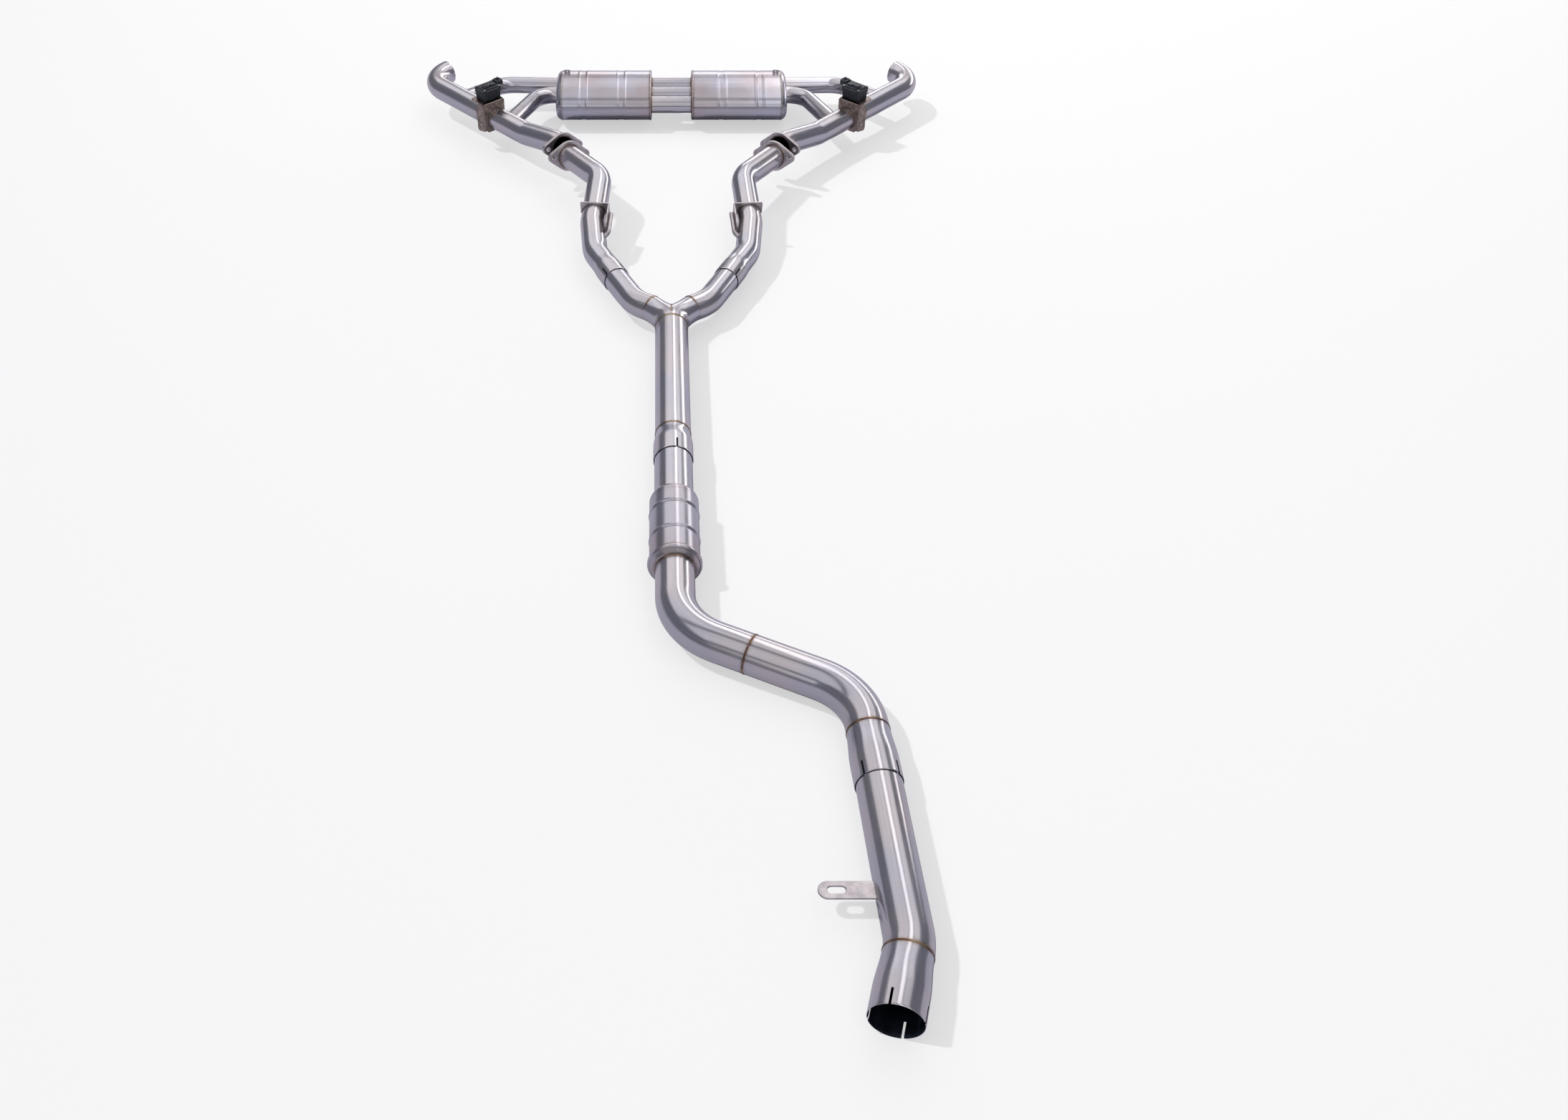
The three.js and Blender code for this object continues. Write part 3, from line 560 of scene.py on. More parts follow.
def circle(radius, centre=(0.0, 0.0), count=48):
    angles = ring_angles(count)
    return np.stack([centre[0] + radius * np.cos(angles), centre[1] + radius * np.sin(angles)], axis=1)


def rounded_rectangle(width, depth, radius, centre=(0.0, 0.0), steps=6):
    points = []
    for sign_x, sign_y, start in ((1, 1, 0), (-1, 1, 90), (-1, -1, 180), (1, -1, 270)):
        angles = np.radians(start + np.linspace(0, 90, steps + 1))
        points.extend(np.column_stack([
            centre[0] + sign_x * (width / 2 - radius) + radius * np.cos(angles),
            centre[1] + sign_y * (depth / 2 - radius) + radius * np.sin(angles),
        ]))
    return np.array(points)


def make_piece(name, skin, finishes, body=PIPEWORK, replaced=(), mirrored=False, sharp=32):
    """One Blender object from a skin, riding on its body and standing for its CAD nodes."""
    points = in_row(np.concatenate(skin.points))
    grain = np.concatenate(skin.grain) * 0.001
    weld = np.concatenate(skin.weld) * 0.001
    face_sets = skin.faces
    if mirrored:
        points = points * np.array([-1.0, 1.0, 1.0])
        face_sets = [faces[:, ::-1] for faces in face_sets]
    mesh = bpy.data.meshes.new(name)
    loops = np.concatenate([faces.ravel() for faces in face_sets])
    sizes = np.concatenate([np.full(len(faces), faces.shape[1]) for faces in face_sets])
    starts = np.concatenate([[0], np.cumsum(sizes)[:-1]])
    mesh.vertices.add(len(points))
    mesh.vertices.foreach_set("co", points.astype(np.float32).ravel())
    mesh.loops.add(len(loops))
    mesh.loops.foreach_set("vertex_index", loops.astype(np.int32))
    mesh.polygons.add(len(sizes))
    mesh.polygons.foreach_set("loop_start", starts.astype(np.int32))
    mesh.polygons.foreach_set("material_index", np.concatenate(skin.finish).astype(np.int32))
    mesh.update(calc_edges=True)
    if mesh.validate():
        raise RuntimeError(f"{name} holds faces that are not valid")
    grain_values = mesh.attributes.new("grain", "FLOAT_VECTOR", "POINT").data
    grain_values.foreach_set("vector", grain.astype(np.float32).ravel())
    weld_values = mesh.attributes.new("weld_distance", "FLOAT", "POINT").data
    weld_values.foreach_set("value", weld.astype(np.float32))
    uv = mesh.uv_layers.new(name="UVMap")
    flat = np.stack([grain[loops, 0] + grain[loops, 1], grain[loops, 2]], axis=1)
    uv.data.foreach_set("uv", flat.astype(np.float32).ravel())
    mesh.shade_smooth()
    mesh.set_sharp_from_angle(angle=math.radians(sharp))
    for finish in finishes:
        mesh.materials.append(finish)
    obj = bpy.data.objects.new(name, mesh)
    bpy.context.scene.collection.objects.link(obj)
    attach(obj, body)
    if replaced:
        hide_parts(*replaced)
    return obj


def make_single(node, skin, finishes):
    """A piece that stands for the CAD node of the same name."""
    make_piece(f"{node}_skin", skin, finishes, replaced=[node])


def make_pair(node, skin, finishes, body=None, in_cad=True, sharp=32):
    """A piece on the right and its mirror image on the left, standing for the CAD nodes of that name."""
    for side, sign in SIDES:
        make_piece(
            f"{node}_{side}_skin", skin, finishes,
            body=PIPEWORK if body is None else f"{body}_{side}",
            replaced=[f"{node}_{side}"] if in_cad else (),
            mirrored=sign < 0, sharp=sharp,
        )


# ---- Finishes --------------------------------------------------------------------------------------
def linear(hex_colour):
    """An sRGB colour such as "C8C3C6" as linear red, green, blue and alpha."""
    channels = [int(hex_colour[k : k + 2], 16) / 255 for k in (0, 2, 4)]
    return tuple(c / 12.92 if c <= 0.04045 else ((c + 0.055) / 1.055) ** 2.4 for c in channels) + (1.0,)


def add_node(tree, kind, output, inputs, **settings):
    """Adds a shader node with its settings, links its inputs or sets their values, and gives one output."""
    node = tree.nodes.new("ShaderNode" + kind)
    for key, value in settings.items():
        setattr(node, key, value)
    for key, value in inputs.items():
        if isinstance(value, bpy.types.NodeSocket):
            tree.links.new(value, node.inputs[key])
        else:
            node.inputs[key].default_value = value
    return node.outputs[output]


def new_finish(name, **constants):
    """A material's tree and its shader, with the shader's constant values set on its own sockets."""
    material = bpy.data.materials.new(name)
    material.use_nodes = True
    tree = material.node_tree
    shader = next(node for node in tree.nodes if node.type == "BSDF_PRINCIPLED")
    for key, value in constants.items():
        shader.inputs[key.replace("_", " ")].default_value = value
    return material, tree, shader


def along_metal(tree):
    """Where a point lies across and along the metal, from the piece's own attribute."""
    return add_node(tree, "Attribute", "Vector", {}, attribute_name="grain")


def on_object(tree):
    return add_node(tree, "TexCoord", "Object", {})


def pattern(tree, vector, size, detail=2.0, roughness=0.5):
    """Uneven marks whose size is given in mm, as one number or as one for each direction: the vector is
    multiplied by 1000 / size, and noise with features one unit apart is read there."""
    per_metre = tuple(1000 / np.broadcast_to(np.asarray(size, float), 3))
    scaled = add_node(tree, "VectorMath", "Vector", {0: vector, 1: per_metre}, operation="MULTIPLY")
    inputs = {"Vector": scaled, "Scale": 1.0, "Detail": detail, "Roughness": roughness}
    return add_node(tree, "TexNoise", "Fac", inputs)


def from_to(tree, value, low, high, at_low=0.0, at_high=1.0):
    """Goes straight from one result to another as a value rises from low to high, and stays there."""
    inputs = {"Value": value, "From Min": low, "From Max": high, "To Min": at_low, "To Max": at_high}
    return add_node(tree, "MapRange", "Result", inputs)


def blended(tree, share, first, second):
    """first x (1 - share) + second x share, for two colours, fixed or linked."""
    return add_node(tree, "Mix", 2, {0: share, 6: first, 7: second}, data_type="RGBA")


def total(tree, first, second):
    return add_node(tree, "Math", 0, {0: first, 1: second}, operation="ADD")


def banded(tree, value, stops):
    """Colour bands: every stop is (place from 0 to 1, colour). Gives the colour and the alpha."""
    colour = add_node(tree, "ValToRGB", "Color", {"Fac": value})
    elements = colour.node.color_ramp.elements
    while len(elements) < len(stops):
        elements.new(0.5)
    for element, (place, stop_colour) in zip(elements, stops):
        element.position = place
        element.color = stop_colour
    return colour, colour.node.outputs["Alpha"]


def feed(tree, shader, colour=None, roughness=None, relief=None):
    """Links a finish's results to its shader. relief is (height, strength, depth in mm)."""
    if colour is not None:
        tree.links.new(colour, shader.inputs["Base Color"])
    if roughness is not None:
        tree.links.new(roughness, shader.inputs["Roughness"])
    if relief is not None:
        height, strength, depth = relief
        inputs = {"Height": height, "Strength": strength, "Distance": depth * 0.001}
        tree.links.new(add_node(tree, "Bump", "Normal", inputs), shader.inputs["Normal"])


def opaque(colour):
    return tuple(colour) + (1.0,)


def clear(hex_colour, alpha):
    return linear(hex_colour)[:3] + (alpha,)


# Heat tints by distance from a weld: brown beside it, straw further out, and then none.
TUBE_TINT = (
    (0.0, clear("6F5A50", 0.75)), (0.25, clear("86705F", 0.55)), (0.5, clear("A89A86", 0.3)),
    (1.0, clear("B0A89C", 0.0)),
)
CAN_TINT = ((0.0, clear("7A6A60", 0.6)), (0.4, clear("978A7C", 0.3)), (1.0, clear("B0A594", 0.0)))
PLATE_TINT = ((0.0, clear("6A5850", 0.7)), (0.4, clear("8E7A68", 0.45)), (1.0, clear("B0A594", 0.0)))


def tinted(tree, colour, grain, reach, stops):
    """Heat tint round a weld: bands of colour by the distance from it, out to a reach in mm, with an
    edge that marks 6 mm apart make uneven."""
    distance = add_node(tree, "Attribute", "Fac", {}, attribute_name="weld_distance")
    reach = reach * 0.001
    uneven = from_to(tree, pattern(tree, grain, 5.882, 3.0), 0.3, 0.7, -0.2 * reach, 0.2 * reach)
    shifted = total(tree, distance, uneven)
    band, strength = banded(tree, from_to(tree, shifted, 0.0, reach), stops)
    return blended(tree, strength, colour, band)


def belt_brushed(name, warm, roughness, darkest, reach, stops):
    """Lengthwise brushing, as a belt leaves it: scratches drawn 0.7 mm wide, because the real ones of
    0.1 mm are too fine to show, streaks 4 mm wide and a hand long, smudges, and slow drifts of colour."""
    material, tree, shader = new_finish(name, Metallic=1.0)
    grain = along_metal(tree)
    scratches = pattern(tree, grain, (0.6667, 0.6667, 71.43), 3.0, 0.6)
    streaks = pattern(tree, grain, (4.348, 4.348, 222.2), 2.5, 0.55)
    smudges = pattern(tree, grain, (16.67, 16.67, 45.45), 3.0, 0.6)
    drift = from_to(tree, pattern(tree, grain, 142.86), 0.38, 0.62)
    cool = bpy.context.scene.exhaust_finishes.cool_steel
    steel = blended(tree, drift, opaque(warm), opaque(cool))
    both = total(tree, streaks, scratches)
    shade = from_to(tree, both, 0.7, 1.3, darkest, 1.04)
    shaded = add_node(tree, "VectorMath", "Vector", {0: steel, "Scale": shade}, operation="SCALE")
    feed(
        tree, shader, tinted(tree, shaded, grain, reach, stops),
        from_to(tree, total(tree, both, smudges), 1.1, 1.9, *roughness), (scratches, 0.12, 0.01),
    )
    return material


def brushed_tube():
    """Belt-brushed stainless tube: satin grey with a faint warm cast, and straw to brown at welds."""
    steel = bpy.context.scene.exhaust_finishes.steel
    return belt_brushed("brushed_stainless_tube", steel, (0.16, 0.26), 0.9, 8.0, TUBE_TINT)


def muffler_steel():
    """Brushed can sheet: the brushing runs along the can, softer and a little warmer than the tube."""
    steel = bpy.context.scene.exhaust_finishes.can_steel
    return belt_brushed("brushed_can_sheet", steel, (0.23, 0.27), 0.95, 6.0, CAN_TINT)


def bore_painted_shade():
    """The inside of the tube, painted as shade: a dull blue-black stands for the dark that lies in the
    bore, with lighter patches 17 mm apart."""
    material, tree, shader = new_finish("bore_painted_shade", Metallic=0.6)
    patches = pattern(tree, along_metal(tree), 16.67, 4.0)
    # The bore's near-black colour is painted shade for the dark inside the tubes, the cans and the sockets.
    dark = opaque(bpy.context.scene.exhaust_finishes.bore)
    colour = blended(tree, from_to(tree, patches, 0.35, 0.7), dark, linear("232C3A"))
    feed(tree, shader, colour, from_to(tree, patches, 0.3, 0.7, 0.42, 0.62))
    return material


def weld_metal():
    """TIG weld bead: bright ripples, with straw, bronze and purple oxide that changes every 26 mm, and
    a skin that is rough from one millimetre to the next."""
    material, tree, shader = new_finish("tig_weld_bead", Metallic=1.0)
    oxide = pattern(tree, on_object(tree), 26.32, 3.0)
    fine = pattern(tree, along_metal(tree), 1.111, 3.0)
    stops = (
        (0.3, linear("A39A8E")), (0.42, linear("9B8468")), (0.5, linear("7E6450")),
        (0.58, linear("6B5450")), (0.68, linear("9C9086")),
    )
    colour, _ = banded(tree, oxide, stops)
    feed(tree, shader, colour, from_to(tree, fine, 0.3, 0.7, 0.2, 0.42), (fine, 0.3, 0.3))
    return material


def cut_plate():
    """Laser-cut and faced stainless plate: brighter than the tube, with tool marks 0.6 mm apart and
    5 mm long, and clouded patches 21 mm apart."""
    material, tree, shader = new_finish("laser_cut_plate", Metallic=1.0)
    grain = along_metal(tree)
    marks = pattern(tree, grain, (4.545, 0.625, 0.625), 3.0)
    patches = from_to(tree, pattern(tree, grain, 20.83, 3.0), 0.35, 0.65)
    colour = blended(tree, patches, linear("CFC9C9"), linear("B4AEB0"))
    feed(
        tree, shader, tinted(tree, colour, grain, 6.0, PLATE_TINT),
        from_to(tree, marks, 0.3, 0.7, 0.26, 0.46), (marks, 0.2, 0.06),
    )
    return material


def folded_sheet():
    """Cold-rolled bracket sheet with a thin brown bake on it: duller and darker than the tube, with
    rolling lines 0.8 mm apart and stains 14 mm apart."""
    material, tree, shader = new_finish("rolled_bracket_sheet", Metallic=1.0)
    grain = along_metal(tree)
    rolled = pattern(tree, grain, (0.7692, 0.7692, 8.333), 3.0)
    stains = from_to(tree, pattern(tree, grain, 14.286, 4.0, 0.6), 0.38, 0.68)
    sheet = opaque(bpy.context.scene.exhaust_finishes.bracket)
    colour = blended(tree, stains, sheet, linear("6E6158"))
    feed(tree, shader, colour, from_to(tree, rolled, 0.3, 0.7, 0.34, 0.52), (rolled, 0.18, 0.06))
    return material


def black_nylon():
    """Glass-filled nylon moulding: near black, with a spark-eroded texture of 0.4 mm and faint flow
    marks 11 mm apart."""
    material, tree, shader = new_finish("glass_filled_nylon", Metallic=0.0)
    grain = along_metal(tree)
    texture = pattern(tree, grain, 0.4167)
    flow = pattern(tree, grain, 11.11, 3.0)
    black = opaque(bpy.context.scene.exhaust_finishes.nylon)
    colour = blended(tree, from_to(tree, flow, 0.35, 0.7), black, linear("2B2F36"))
    feed(tree, shader, colour, from_to(tree, flow, 0.3, 0.7, 0.34, 0.5), (texture, 0.3, 0.2))
    return material


def seal_rubber():
    """The plug's silicone seal: a yellow ring with a waxy surface, clouded every 3 mm."""
    material, tree, shader = new_finish("silicone_seal", Metallic=0.0, Roughness=0.55)
    wax = pattern(tree, along_metal(tree), 3.333)
    feed(tree, shader, blended(tree, wax, linear("C9A92C"), linear("A88A1E")))
    return material


def zinc_screw():
    """Zinc-plated screws and pins: light grey, with the plating's crystals drawn 1.4 mm wide."""
    material, tree, shader = new_finish("zinc_plated_screw", Metallic=1.0)
    speckle = pattern(tree, along_metal(tree), 1.4286, 3.0)
    colour = blended(tree, speckle, linear("8F9196"), linear("D9DADD"))
    feed(tree, shader, colour, from_to(tree, speckle, 0.3, 0.7, 0.22, 0.4))
    return material


def ground_steel():
    """Ground shaft and flap: rings half a millimetre apart round the axis, and a straw bake."""
    material, tree, shader = new_finish("ground_shaft_steel", Metallic=1.0)
    rings = pattern(tree, along_metal(tree), (16.67, 16.67, 0.4545))
    colour = blended(tree, rings, linear("77716B"), linear("A79C8C"))
    feed(tree, shader, colour, from_to(tree, rings, 0.3, 0.7, 0.25, 0.42))
    return material


def moulded_gear():
    """Natural acetal gear: creamy white with a soft moulded sheen, clouded every 8 mm."""
    material, tree, shader = new_finish("acetal_gear", Metallic=0.0, Roughness=0.45)
    cloud = pattern(tree, on_object(tree), 8.333, 3.0)
    feed(tree, shader, blended(tree, cloud, linear("D8D2C0"), linear("C7BFA9")))
    return material


def perforated_core():
    """Perforated tube inside the resonator: its holes are not cut but painted as dark round spots, painted
    shade for the dark in each hole, staggered about 5 mm apart, in bright sheet. 190 cells to a metre are 5.3
    mm each."""
    material, tree, shader = new_finish("perforated_core_sheet", Metallic=1.0, Roughness=0.4)
    cells = {"Vector": on_object(tree), "Scale": 190.0, "Randomness": 0.1}
    holes = add_node(tree, "TexVoronoi", "Distance", cells)
    share = from_to(tree, holes, 0.28, 0.34)
    # The dark round spots are painted shade that stands for the holes.
    feed(tree, shader, blended(tree, share, linear("1B1815"), linear("A79C92")))
    return material


def glass_wool():
    """Glass-wool packing: pale, matt and fibrous, with tufts 1.1 mm wide and 8 mm long."""
    material, tree, shader = new_finish("glass_wool_packing", Metallic=0.0, Roughness=0.95)
    fibres = pattern(tree, on_object(tree), (1.111, 8.333, 1.111), 4.0)
    feed(tree, shader, blended(tree, fibres, linear("C9BF9C"), linear("EDE8D6")))
    return material


def studio_floor():
    """Opal acrylic over a light box: pale, matt and softly lit from below, so that shadows stay light,
    with a tooth of 2.4 mm. What the metal mirrors of it is a dimmer grey."""
    stage = bpy.context.scene.exhaust_stage
    material, tree, shader = new_finish("opal_floor", Metallic=0.0, Roughness=0.9)
    tooth = pattern(tree, on_object(tree), 2.381)
    slightly_darker = opaque(channel * 0.985 for channel in stage.floor)
    seen = blended(tree, tooth, opaque(stage.floor), slightly_darker)
    direct = add_node(tree, "LightPath", "Is Camera Ray", {})
    feed(tree, shader, blended(tree, direct, opaque(stage.floor_in_metal), seen))
    shader.inputs["Emission Color"].default_value = (1.0, 1.0, 1.0, 1.0)
    glow = from_to(tree, direct, 0.0, 1.0, 0.0, stage.floor_glow)
    tree.links.new(glow, shader.inputs["Emission Strength"])
    return material


FINISHES = {}


def finish(maker):
    """The material that a maker gives, made once."""
    if maker.__name__ not in FINISHES:
        FINISHES[maker.__name__] = maker()
    return FINISHES[maker.__name__]


def dress_node(name, maker):
    """Gives a CAD node that stays in the model its finish."""
    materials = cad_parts[name].data.materials
    materials.clear()
    materials.append(finish(maker))


def tube_finishes():
    return [finish(brushed_tube), finish(bore_painted_shade)]


# ---- Places along the system -----------------------------------------------------------------------
INLET_WELD = step_from(INLET_END, INLET_CORNER, 105)
JOINT_WELD = between(FRONT_JOINT, LOWER_CORNER, 0.56)
UPPER_CORNER = on_trunk(734)
DIAGONAL_WELD = between(LOWER_CORNER, UPPER_CORNER, 0.585)
RESONATOR_IN = on_trunk(880)
RESONATOR_OUT = on_trunk(1070)
Y_MOUTH = on_trunk(1184)
Y_WELD = on_trunk(1266)
TRUNK_WELD = step_from(MERGE, Y_WELD, 46)
LEG_WELD = step_from(MERGE, LEG_CORNER, 52)
HANGER_WELD = step_from(HANGER_POINT, MID_HIGH_CORNER, 40)
MID_FLANGE_FACE = step_from(MID_FLANGE, MID_HIGH_CORNER, -FLANGE_THICKNESS / 2)
REAR_FLANGE_FACE = step_from(REAR_FLANGE, REAR_FLANGE_CORNER, -FLANGE_THICKNESS / 2)
VALVE_CENTRE = between(REAR_CORNER, HOOK_CORNER, VALVE_SHARE)
VALVE_FRAME = Frame(VALVE_CENTRE, np.subtract(HOOK_CORNER, REAR_CORNER))
VALVE_INLET = VALVE_FRAME.place([0, -VALVE_LENGTH / 2, 0])
VALVE_OUTLET = VALVE_FRAME.place([0, VALVE_LENGTH / 2, 0])


def columns_for(diameter):
    """How many columns a pipe of this diameter gets, from the tube setting."""
    tubes = bpy.context.scene.exhaust_tubes
    return max(24, int(tubes.columns * math.sqrt(diameter / FRONT_PIPE) / 4) * 4)


def plain_tube(corners, bend_radius, diameter, welds=("start", "end"), in_socket=0.0):
    """A tube of one diameter along its route, with short steps beside its welds and painted shade on the
    stretch that stands in a socket, where it shows dark through the slots."""
    marks = (0.4, 4, 8, 14, -0.4, -4, -8, -14, *([-in_socket] if in_socket else []))
    route = Route(corners, bend_radius, marks)
    radii = np.full(len(route.distances), diameter / 2)
    for end, name in ((0, "start"), (-1, "end")):
        if name not in welds:
            radii[end] -= CUT_EDGE
    return Skin().tube(route, radii, columns=columns_for(diameter), welds=welds, socket_shade=in_socket)


def socket_radii(distances, inner_pipe, rear_pipe, neck_end):
    """Socket radius by distance from its mouth: a softened rim, an even mouth and a smooth neck."""
    mouth = inner_pipe / 2 + SLIP_FIT + WALL
    rear = rear_pipe / 2
    neck = smooth_step(distances, SOCKET_NECK, neck_end)
    rim = CUT_EDGE * np.clip(1 - np.asarray(distances) / 0.5, 0, 1)
    return mouth + (rear - mouth) * neck - rim


def socket_wall(distances):
    """Wall thickness by distance from the mouth, whose inside is opened out by a lead-in."""
    return MOUTH_WALL + (WALL - MOUTH_WALL) * smooth_step(distances, 0.5, 6.0)


def socket_marks():
    return (0.5, 2.5, SLOT_LENGTH, *np.arange(4.0, SLOT_LENGTH, 4.0), *np.arange(36.0, 96.0, 3.0))


def slotted_socket(mouth, rear, inner_pipe, rear_pipe, first_slot):
    """A slotted socket from its open mouth to its welded rear."""
    route = Route([mouth, rear], FRONT_BEND, (*socket_marks(), -0.4, -4, -8))
    radii = socket_radii(route.distances, inner_pipe, rear_pipe, route.length - 3)
    wall = socket_wall(route.distances)
    return Skin().tube(route, radii, wall, columns_for(inner_pipe), first_slot, ("end",))


def funnel(sign, run_step=5.0):
    """One arm of the merge piece: its route from the trunk to a leg, and its radius along it."""
    mirror = np.array([sign, 1.0, 1.0])
    turn_point = np.array(MERGE, float) * mirror + np.array([0, -22, 0])
    route = Route([TRUNK_WELD, turn_point, LEG_WELD * mirror], 60.0, (4, 8, -4, -8), run_step, 1.0)
    share = smooth_step(route.distances, 8, route.length - 14)
    return route, TRUNK_PIPE / 2 + (TWIN_PIPE / 2 - TRUNK_PIPE / 2) * share


# ---- Operators: one for each piece or group of like pieces ------------------------------------------
class MakePieces:
    """What every operator here shares: it makes its pieces, and raises an error if it can't."""

    bl_options = {"REGISTER", "UNDO"}

    def execute(self, context):
        self.make(context)
        return {"FINISHED"}


class EXHAUST_OT_front_pipe(MakePieces, bpy.types.Operator):
    """Slotted inlet collar, the long front pipe and its slotted hanger tab"""

    bl_idname = "exhaust.front_pipe"
    bl_label = "Front Pipe"

    def make(self, context):
        collar = slotted_socket(INLET_END, INLET_WELD, INLET_PIPE, FRONT_PIPE, INLET_SLOT)
        make_single("inlet_collar", collar, tube_finishes())
        inside_joint = step_from(FRONT_JOINT, JOINT_WELD, SLIP_DEPTH)
        corners = [INLET_WELD, INLET_CORNER, FRONT_JOINT, inside_joint]
        pipe = plain_tube(corners, INLET_BEND, FRONT_PIPE, ("start",), SOCKET_SHADE_LENGTH)
        make_single("front_pipe", pipe, tube_finishes())
        self.make_hanger_tab()

    def make_hanger_tab(self):
        """A flat tab that stands out to the left, with one round end and a long hole."""
        root = between(INLET_CORNER, FRONT_JOINT, 0.31)
        length, half_width, thickness = 118.0, 15.0, 4.0
        slot_centre, slot_radius, slot_travel = 91.0, 6.5, 7.0
        start = FRONT_PIPE / 2 - 3.0
        turn = np.radians(np.linspace(-90, 90, 25))
        tip = length - half_width
        outline = [(start, -half_width), *zip(tip + half_width * np.cos(turn), half_width * np.sin(turn))]
        outline.append((start, half_width))
        end_arc = np.column_stack([slot_travel + slot_radius * np.cos(turn), slot_radius * np.sin(turn)])
        slot = np.array([slot_centre, 0.0]) + np.concatenate([end_arc, -end_arc])
        place = Frame(root + np.array([0, 0, thickness / 2]), (0, 1, 0))
        place.right, place.along, place.up = np.array([[-1.0, 0, 0], [0, 0, 1.0], [0, 1.0, 0]])
        skin = Skin().plate(outline, [slot], thickness, place, edge=0.6)
        skin.weld[0] = np.abs(np.abs(skin.points[0][:, 0] - root[0]) - FRONT_PIPE / 2)
        make_single("front_hanger_tab", skin, [finish(cut_plate)])


class EXHAUST_OT_s_pipe(MakePieces, bpy.types.Operator):
    """The S-shaped pipe: its slotted joint collar and two bends that meet at the diagonal weld"""

    bl_idname = "exhaust.s_pipe"
    bl_label = "S Pipe"

    def make(self, context):
        collar = slotted_socket(FRONT_JOINT, JOINT_WELD, FRONT_PIPE, TRUNK_PIPE, JOINT_SLOT)
        make_single("joint_collar", collar, tube_finishes())
        for name, corners in (
            ("s_pipe_lower", [JOINT_WELD, LOWER_CORNER, DIAGONAL_WELD]),
            ("s_pipe_upper", [DIAGONAL_WELD, UPPER_CORNER, RESONATOR_IN]),
        ):
            skin = plain_tube(corners, FRONT_BEND, TRUNK_PIPE)
            make_single(name, skin, tube_finishes())


class EXHAUST_OT_resonator(MakePieces, bpy.types.Operator):
    """The round resonator: dished front cap with a rolled lip, embossed shell, rear shoulder and neck"""

    bl_idname = "exhaust.resonator"
    bl_label = "Resonator"

    def make(self, context):
        place = Frame(RESONATOR_IN, RESONATOR_OUT - RESONATOR_IN)
        length = float(np.linalg.norm(RESONATOR_OUT - RESONATOR_IN))
        steel = [finish(muffler_steel)]
        front = rounded([
            (35.2, 0.2), (39, 1.2), (44.2, 6.2), (46.0, 5.6), (48.9, 8.4), (48.9, 14.6), (46.2, 17),
        ], 3.0)
        back = rounded([(44.6, 17), (44.6, 9), (39, 3.4), (35.2, 2.4)], 2.0)
        cap = Skin().turned(np.vstack([front, back]), place, 96, welds=(0.0, 17.0))
        make_single("resonator_front_cap", cap, steel)
        self.make_shell(place, length, steel)
        rear = rounded([
            (45.5, length - 17), (45.5, length - 10), (43.5, length - 4), (38.2, length - 0.5),
            (36.7, length + 1),
        ], 7.0)
        inside = rounded([(36.7, length - 1.5), (42.0, length - 6), (44.0, length - 17)], 5.0)
        cap = Skin().turned(np.vstack([rear, inside]), place, 96, welds=(length + 1.0,))
        make_single("resonator_rear_cap", cap, steel)
        neck_start = place.place([0, length - 29, 0])
        neck_end = step_from(Y_MOUTH, Y_WELD, SLIP_DEPTH)
        neck = plain_tube([neck_start, neck_end], FRONT_BEND, FRONT_PIPE, (), SOCKET_SHADE_LENGTH)
        make_single("resonator_outlet", neck, tube_finishes())
        for name, maker in (("resonator_core", perforated_core), ("resonator_packing", glass_wool)):
            dress_node(name, maker)

    def make_shell(self, place, length, steel):
        """The shell's wall carries two embossed rings, each a ridge beside a groove."""
        start, end = 17.3, length - 17
        stations = np.arange(start, end + 0.01, 0.75)
        height = np.zeros_like(stations)
        for ring_station in (68.0, 138.0):
            offset = stations - ring_station
            height += 1.3 * np.exp(-((offset - 1.6) / 1.7) ** 2) - 1.0 * np.exp(-((offset + 2.4) / 1.9) ** 2)
        outer = np.column_stack([45.5 + height, stations])
        inner = np.column_stack([44.0 + height, stations])[::-1]
        shell = Skin().turned(np.vstack([outer, inner]), place, 96, welds=(start,))
        make_single("resonator_shell", shell, steel)


class EXHAUST_OT_y_pipe(MakePieces, bpy.types.Operator):
    """The Y-pipe: slotted collar, straight trunk, merge piece and two curved legs"""

    bl_idname = "exhaust.y_pipe"
    bl_label = "Y Pipe"

    def make(self, context):
        collar = slotted_socket(Y_MOUTH, Y_WELD, FRONT_PIPE, TRUNK_PIPE, Y_SLOT)
        make_single("y_collar", collar, tube_finishes())
        trunk = plain_tube([Y_WELD, TRUNK_WELD], FRONT_BEND, TRUNK_PIPE)
        make_single("y_trunk", trunk, tube_finishes())
        self.make_collector()
        leg = [LEG_WELD, LEG_CORNER, LEG_JOINT, step_from(LEG_JOINT, MID_LOW_CORNER, SLIP_DEPTH)]
        make_pair("y_leg", plain_tube(leg, TWIN_BEND, TWIN_PIPE, ("start",), SOCKET_SHADE_LENGTH), tube_finishes())

    def make_collector(self):
        """Two funnels start in the trunk, bend outward and narrow to the legs."""
        skin = Skin()
        for sign in (1, -1):
            route, radii = funnel(sign)
            skin.tube(route, radii, columns=columns_for(TRUNK_PIPE))
        make_single("y_collector", skin, tube_finishes())


class EXHAUST_OT_mid_pipes(MakePieces, bpy.types.Operator):
    """The two mid pipes: slotted socket, low bend, hanger bend, high bend and flange end"""

    bl_idname = "exhaust.mid_pipes"
    bl_label = "Mid Pipes"

    def make(self, context):
        corners = [LEG_JOINT, MID_LOW_CORNER, HANGER_POINT, HANGER_WELD]
        route = Route(corners, TWIN_BEND, (*socket_marks(), -0.4, -4, -8))
        radii = socket_radii(route.distances, TWIN_PIPE, TWIN_PIPE, 74.0)
        wall = socket_wall(route.distances)
        lower = Skin().tube(route, radii, wall, columns_for(TWIN_PIPE), JOINT_SLOT, ("end",))
        make_pair("mid_pipe_lower", lower, tube_finishes())
        upper = plain_tube([HANGER_WELD, MID_HIGH_CORNER, MID_FLANGE_FACE], TWIN_BEND, TWIN_PIPE)
        make_pair("mid_pipe_upper", upper, tube_finishes())


